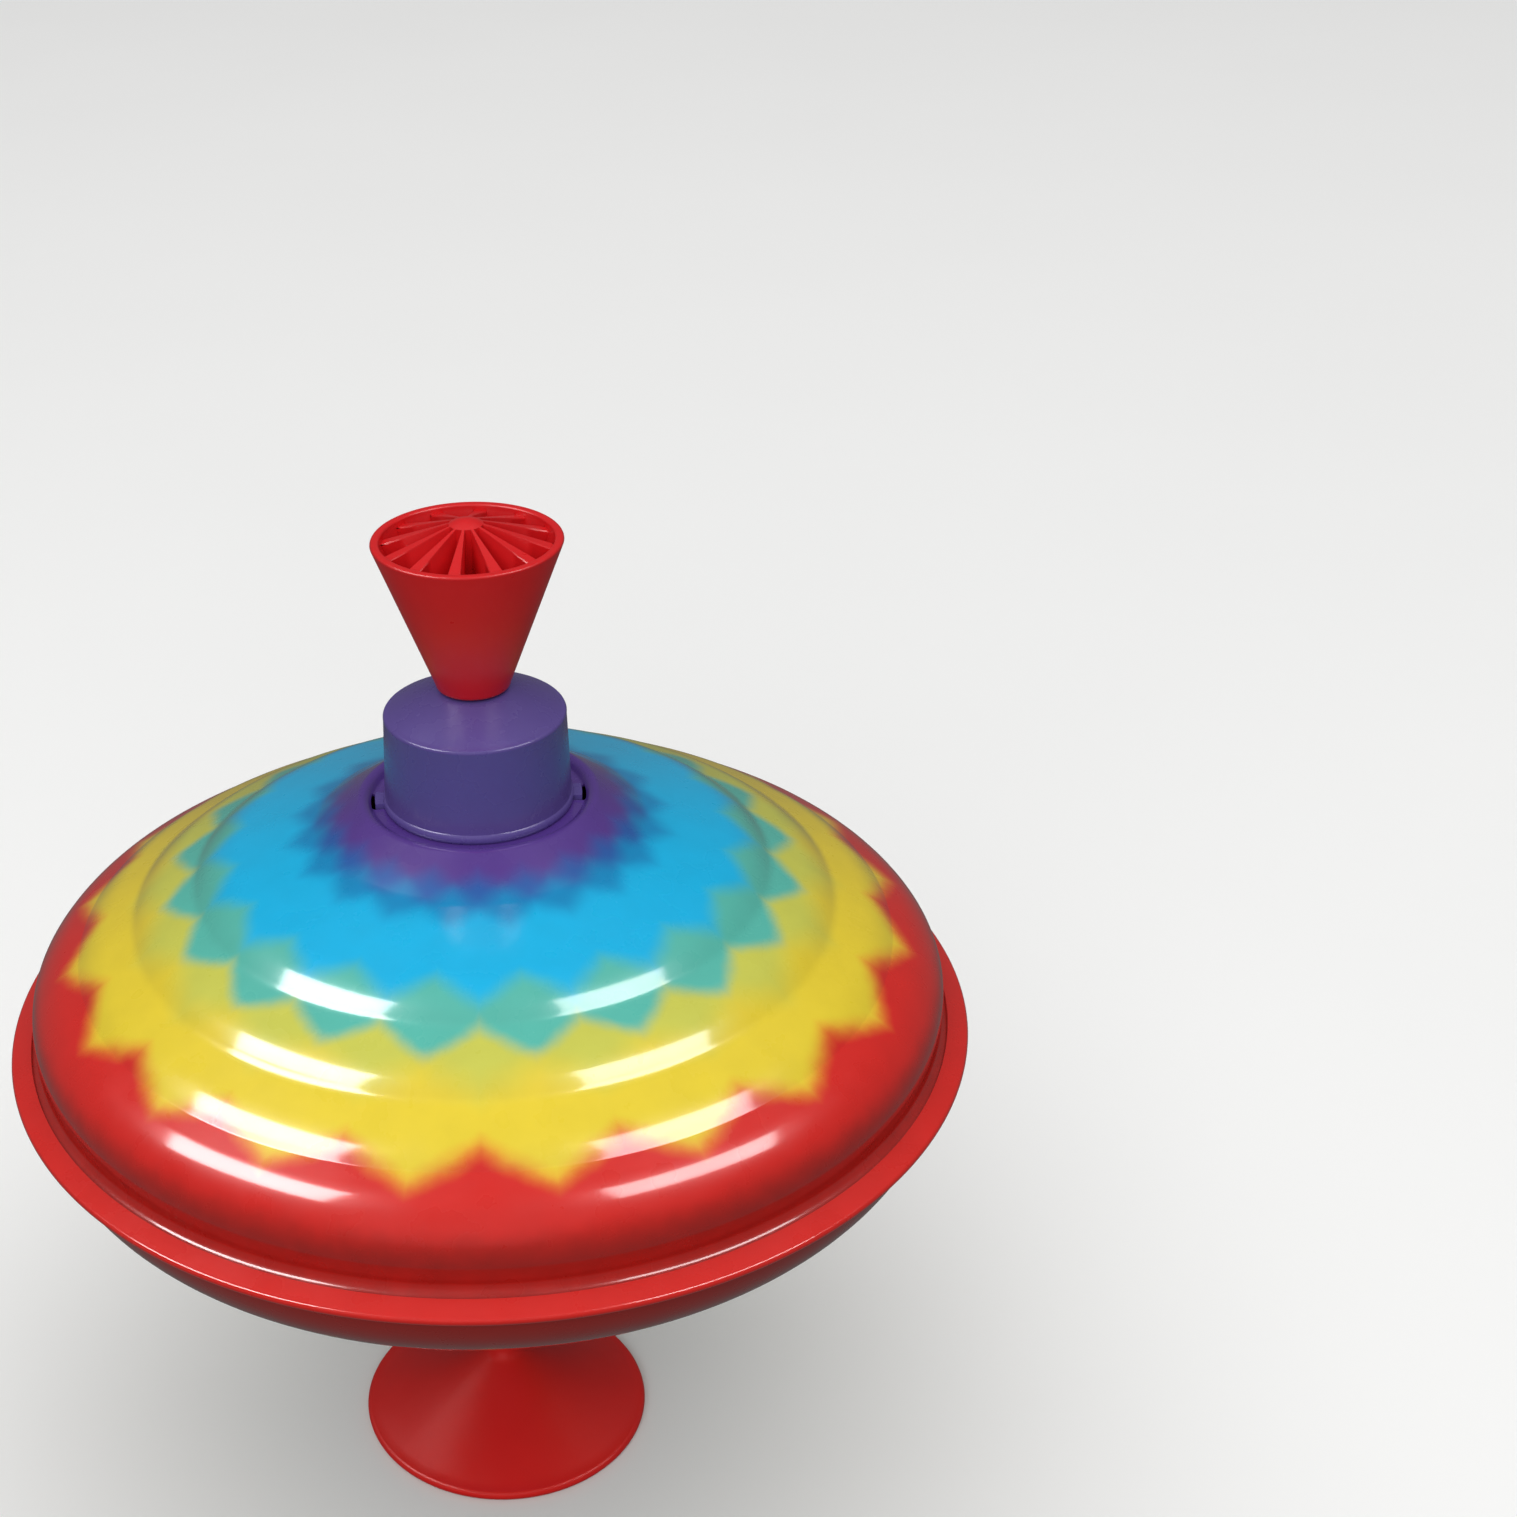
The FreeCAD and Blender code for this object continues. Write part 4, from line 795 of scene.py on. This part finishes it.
def knob_rings(builder, outside):
    """A ring for each station. Stations at one angle share their outside and their hub."""
    rings = []
    for angle, line in knob_stations():
        last = rings[-1] if rings else None
        if last and abs(last.angle - angle) < SAME_PLACE:
            outer, hub = last.outer, last.hub
        else:
            outer = add_ring(builder, outside, angle)
            hub = add_ring(builder, [rib_line[-1]] + hub_line[:-1], angle)
        crown = [outer[-1]] + add_ring(builder, line[1:-1], angle) + [hub[0]]
        rings.append(Ring(angle, outer, crown, hub))
    return rings


def knob_mesh():
    """The knob, joined ring by ring and closed at the bore's end and the hub's top."""
    builder = bmesh.new()
    outside = knob_outside()
    bore_end = builder.verts.new((0, 0, outside[0][1] * MM))
    hub_end = builder.verts.new((0, 0, hub_top * MM))
    rings = knob_rings(builder, outside[1:])
    for here, there in zip(rings, rings[1:] + rings[:1]):
        join_rows(builder, here.crown, there.crown)
        if here.outer is there.outer:
            continue
        face(builder, bore_end, here.outer[0], there.outer[0])
        join_rows(builder, here.outer, there.outer)
        join_rows(builder, here.hub, there.hub)
        face(builder, here.hub[-1], hub_end, there.hub[-1])
    return builder


finish_mesh("knob_moulding", knob_mesh(), materials["red_plastic"], "plunger", "red_plastic", "knob")

# ---- foot ----

foot_top = high("foot_disc")
foot_radius = high("foot_disc", 0)
FOOT_EDGE, FOOT_INSIDE_RADIUS, FOOT_RING_DEPTH = 2.0, 26.4, 1.0
FOOT_SWEEP_END, FOOT_SWEEP_RADIUS, FOOT_SWEEP_PARTS = (5.1, 13.9), 130.0, 16
NECK_RADIUS, NECK_BASE, NECK_ROUND, NECK_EDGE, NECK_EDGE_PARTS = 3.0, 17.6, 4.4, 0.3, 4
PIN_RADIUS, PIN_BASE = 1.25, 5.0
BOSS_RADIUS, BOSS_BASE, BOSS_TOP = 4.5, 1.6, 12.4


def foot_section():
    """A shallow bell with a rounded edge, a neck for the pin, and a boss in the hollow under it."""
    half = FOOT_EDGE / 2
    points = [(FOOT_INSIDE_RADIUS, 0.0), (foot_radius - half, 0.0)]
    arc_to(points, (foot_radius, half), half)
    arc_to(points, (foot_radius - half, FOOT_EDGE), half)
    arc_to(points, FOOT_SWEEP_END, -FOOT_SWEEP_RADIUS, FOOT_SWEEP_PARTS)
    arc_to(points, (NECK_RADIUS, NECK_BASE), -NECK_ROUND)
    points.append((NECK_RADIUS, foot_top - NECK_EDGE))
    arc_to(points, (NECK_RADIUS - NECK_EDGE, foot_top), NECK_EDGE, NECK_EDGE_PARTS)
    points += [(PIN_RADIUS, foot_top), (PIN_RADIUS, PIN_BASE), (0.0, PIN_BASE), (0.0, BOSS_BASE)]
    points += [(BOSS_RADIUS, BOSS_BASE), (BOSS_RADIUS, BOSS_TOP), (FOOT_INSIDE_RADIUS, FOOT_RING_DEPTH)]
    return points


# The foot wears the brightened copy of the red plastic: painted light against the shade under the top.
turned_piece("foot_moulding", foot_section(), materials["painted_light_foot"], "foot", "red_plastic", "foot_disc")

# ---- stem ----

stem_base = low("stem_cone")
chamber_base = high("stem_cone")
STEM_BASE_RADIUS, STEM_TOP_RADIUS, STEM_BASE_ROUND, STEM_TOP_ROUND = 7.8, 13.3, 1.2, 0.25
STEM_HOLE, STEM_FLOOR, STEM_HOLLOW_BASE_RADIUS, STEM_HOLLOW_TOP_RADIUS = 1.95, 2.5, 6.9, 11.2
STEM_SEAT_DEPTH, STEM_BOSS_RADIUS, STEM_BOSS_DROP = 1.7, 5.2, 1.8
BUSH_BORE, BUSH_SEAT, BUSH_TOP, PAD_BORE = 3.2, 1.0, 10.0, 3.6


def stem_section():
    """A cone with a hole for the pin, a boss that holds the bush and pad, and a seat for the chamber."""
    floor_top = stem_base + STEM_FLOOR
    boss_top = chamber_base - STEM_BOSS_DROP
    bush_base, bush_top = stem_base + BUSH_SEAT, stem_base + BUSH_TOP
    seat_radius, seat_floor = STEM_TOP_RADIUS - MOULDED_WALL, chamber_base - STEM_SEAT_DEPTH
    corners = [
        (STEM_HOLE, stem_base), (STEM_BASE_RADIUS, stem_base), (STEM_TOP_RADIUS, chamber_base),
        (seat_radius, chamber_base), (seat_radius, seat_floor), (STEM_HOLLOW_TOP_RADIUS, seat_floor),
        (STEM_HOLLOW_BASE_RADIUS, floor_top), (STEM_BOSS_RADIUS, floor_top),
        (STEM_BOSS_RADIUS, boss_top), (PAD_BORE, boss_top), (PAD_BORE, bush_top),
        (BUSH_BORE, bush_top), (BUSH_BORE, bush_base), (STEM_HOLE, bush_base),
    ]
    return soften(corners, {1: STEM_BASE_ROUND, 2: STEM_TOP_ROUND})


turned_piece("stem_cone_moulding", stem_section(), materials["blue_plastic"],
             "spinner", "blue_plastic", "stem_cone")

# ---- reed chamber, with slots and snap hooks ----

CHAMBER_BASE_RADIUS, CHAMBER_TOP_RADIUS, CHAMBER_MIDDLE_RADIUS, CHAMBER_ROUND = 13.7, 18.2, 16.0, 0.3
CHAMBER_INSIDE_BASE, CHAMBER_INSIDE_TOP = 12.53, 15.8
SPIGOT_RADIUS, SPIGOT_WALL, SPIGOT_HEIGHT = 11.65, 1.4, 1.5
PLATE_SEAT_RADIUS, PLATE_SEAT_DEPTH, LEDGE_RADIUS, RING_DEPTH = 13.05, 1.6, 11.6, 3.0
CHAMBER_SLOTS, CHAMBER_SLOT_WIDTH, CHAMBER_SLOT_RISE, CHAMBER_SLOT_HEIGHT = 7, 2.0, 3.8, 9.5
CHAMBER_SLOT_ZONE = 12.6
HOOKS, HOOK_ARC, HOOK_INNER, HOOK_THICKNESS = 4, 30.0, 13.5, 1.2
HOOK_REACH, HOOK_HEIGHT, HOOK_ROOT = 0.9, 2.4, 1.5
slot_base = chamber_base + CHAMBER_SLOT_RISE
slot_top = slot_base + CHAMBER_SLOT_HEIGHT


def chamber_outside():
    """The chamber's cone, from its spigot to the shell's seat."""
    corners = [(SPIGOT_RADIUS, chamber_base), (CHAMBER_BASE_RADIUS, chamber_base),
               (CHAMBER_TOP_RADIUS, seat)]
    return soften(corners, {1: CHAMBER_ROUND})


def chamber_inside():
    """The plate's seat, its ledge, the hollow, the floor and the spigot into the stem."""
    plate_base, ring_base = seat - PLATE_SEAT_DEPTH, seat - RING_DEPTH
    floor_top, spigot_base = chamber_base + MOULDED_WALL, chamber_base - SPIGOT_HEIGHT
    spigot_inner = SPIGOT_RADIUS - SPIGOT_WALL
    return [(PLATE_SEAT_RADIUS, seat), (PLATE_SEAT_RADIUS, plate_base), (LEDGE_RADIUS, plate_base),
            (LEDGE_RADIUS, ring_base), (CHAMBER_INSIDE_TOP, ring_base), (CHAMBER_INSIDE_BASE, floor_top),
            (0.0, floor_top), (0.0, chamber_base), (spigot_inner, chamber_base),
            (spigot_inner, spigot_base), (SPIGOT_RADIUS, spigot_base)]


def hook_section():
    """A snap hook that holds the rim of the lower shell's hole."""
    root, catch, top = seat - HOOK_ROOT, seat + TIN + PRESS_GAP, seat + HOOK_HEIGHT
    outer = HOOK_INNER + HOOK_THICKNESS
    return [(HOOK_INNER, root), (outer, root), (outer, catch), (outer + HOOK_REACH, catch),
            (outer, top), (HOOK_INNER, top)]


chamber_front = chamber_outside()
chamber_section, chamber_ranges = with_window(
    chamber_front + chamber_inside(), len(chamber_front), 1, (slot_base, slot_top),
    lambda point: point[0] > CHAMBER_SLOT_ZONE and slot_base - SLACK <= point[1] <= slot_top + SLACK)
slot_angle = math.degrees(CHAMBER_SLOT_WIDTH / CHAMBER_MIDDLE_RADIUS)
chamber_slots = []
for index in range(CHAMBER_SLOTS):
    middle = 360 / CHAMBER_SLOTS * index
    chamber_slots.append((middle - slot_angle / 2, middle + slot_angle / 2, *chamber_ranges))
builder = bmesh.new()
lathe(builder, chamber_section, chamber_slots)
for index in range(HOOKS):
    sector(builder, hook_section(), 360 / HOOKS * index, HOOK_ARC)
finish_mesh("reed_chamber_moulding", builder, materials["blue_plastic"],
            "spinner", "blue_plastic", "reed_chamber")

# ---- twisted rod ----

ROD_WIDTH, ROD_THICKNESS, ROD_LEAD, ROD_ROUND = 4.6, 1.3, 33.0, 0.3
ROD_RINGS, ROD_ROUND_PARTS = 330, 4


def twisted_rod():
    """A flat bar with rounded edges, twisted right-handed, flat to X at the cross pin."""
    base, top = low("twisted_rod"), high("twisted_rod")
    pin_height = (low("rod_pin") + high("rod_pin")) / 2
    half_thickness, half_width = ROD_THICKNESS / 2, ROD_WIDTH / 2
    corners = [(-half_thickness, -half_width), (half_thickness, -half_width),
               (half_thickness, half_width), (-half_thickness, half_width)]
    outline = soften(corners, dict.fromkeys(range(len(corners)), ROD_ROUND), ROD_ROUND_PARTS)
    builder = bmesh.new()
    rings = []
    for step in range(ROD_RINGS + 1):
        height = base + (top - base) * step / ROD_RINGS
        turn = math.tau * (height - pin_height) / ROD_LEAD
        rings.append([builder.verts.new(((x * math.cos(turn) - y * math.sin(turn)) * MM,
                                         (x * math.sin(turn) + y * math.cos(turn)) * MM, height * MM))
                      for x, y in outline])
    for here, there in zip(rings, rings[1:]):
        join_loops(builder, here, there)
    face(builder, *rings[0])
    face(builder, *rings[-1])
    return builder


finish_mesh("twisted_rod_strip", twisted_rod(), materials["polished_steel"],
            "plunger", "polished_steel", "twisted_rod")

# ---- floor, light and camera ----

FLOOR_SIZE = 6.0
AIR_STRENGTH = 0.12
WHITE = (1.0, 1.0, 1.0, 1.0)
CAMERA_DISTANCE, CAMERA_RISE = 0.3803, 0.2576
CAMERA_TILT, CAMERA_ROLL, CAMERA_TURN = 61.742, 2.191, -1.534
CAMERA_LENS, CAMERA_SENSOR, CAMERA_SHIFT = 56.75, 36.0, 0.177
rim_middle = Vector((0, 0, rim_height * MM))
scene = bpy.context.scene


def make_floor():
    """A plain pale floor that neither shows in the tin's shine nor throws light up at it."""
    builder = bmesh.new()
    bmesh.ops.create_grid(builder, x_segments=1, y_segments=1, size=FLOOR_SIZE / 2)
    mesh = bpy.data.meshes.new("studio_floor")
    builder.to_mesh(mesh)
    builder.free()
    shader = Shader("studio_floor_paper", Roughness=0.9)
    shader.paint("Base Color", shade(shader, colour(247, 247, 246), amount=0.012, scale=6.0))
    mesh.materials.append(shader.material)
    floor = bpy.data.objects.new("studio_floor", mesh)
    scene.collection.objects.link(floor)
    floor.visible_diffuse = False
    floor.visible_glossy = False


def softbox(name, azimuth, elevation, length, width, distance, radiance, lean=0.0, shine=False):
    """A soft rectangular light that faces the rim's middle. Azimuth 0 is the front and 90 the right.

    A shine lamp only makes highlights, and the others only light the colours.
    """
    turn, lift = math.radians(azimuth), math.radians(elevation)
    towards = Vector((math.sin(turn) * math.cos(lift), -math.cos(turn) * math.cos(lift), math.sin(lift)))
    light = bpy.data.lights.new(name, "AREA")
    light.shape = "RECTANGLE"
    light.size, light.size_y = length, width
    light.energy = radiance * math.pi * length * width
    lamp = bpy.data.objects.new(name, light)
    lamp.location = rim_middle + towards * distance
    lamp.rotation_euler = towards.to_track_quat("Z", "Y").to_euler()
    lamp.rotation_euler.rotate_axis("Z", math.radians(lean))
    lamp.visible_diffuse = not shine
    lamp.visible_glossy = shine
    scene.collection.objects.link(lamp)


def make_air():
    """An even, faint white light from all round."""
    world = bpy.data.worlds.new("studio_air")
    world.use_nodes = True
    background = world.node_tree.nodes["Background"]
    background.inputs["Color"].default_value = WHITE
    background.inputs["Strength"].default_value = AIR_STRENGTH
    scene.world = world
    scene.view_settings.view_transform = "Standard"


def make_camera():
    """The camera at the photograph's angle."""
    camera = bpy.data.cameras.new("camera")
    camera.lens = CAMERA_LENS
    camera.sensor_width = CAMERA_SENSOR
    camera.shift_x = CAMERA_SHIFT
    holder = bpy.data.objects.new("camera", camera)
    holder.location = rim_middle + Vector((0, -CAMERA_DISTANCE, CAMERA_RISE))
    holder.rotation_euler = Euler([math.radians(angle) for angle in (CAMERA_TILT, CAMERA_ROLL, CAMERA_TURN)])
    scene.collection.objects.link(holder)
    scene.camera = holder


make_floor()
softbox("shine_left", azimuth=-76.0, elevation=50.0, length=0.58, width=0.26, distance=1.0, radiance=17.0,
        lean=30.0, shine=True)
softbox("shine_right", azimuth=62.0, elevation=53.0, length=0.55, width=0.24, distance=1.0, radiance=11.0,
        lean=-30.0, shine=True)
softbox("light_top", azimuth=0.0, elevation=85.0, length=8.0, width=8.0, distance=4.0, radiance=1.35)
softbox("light_front", azimuth=-12.0, elevation=28.0, length=1.6, width=1.2, distance=2.0, radiance=2.6)
make_air()
make_camera()
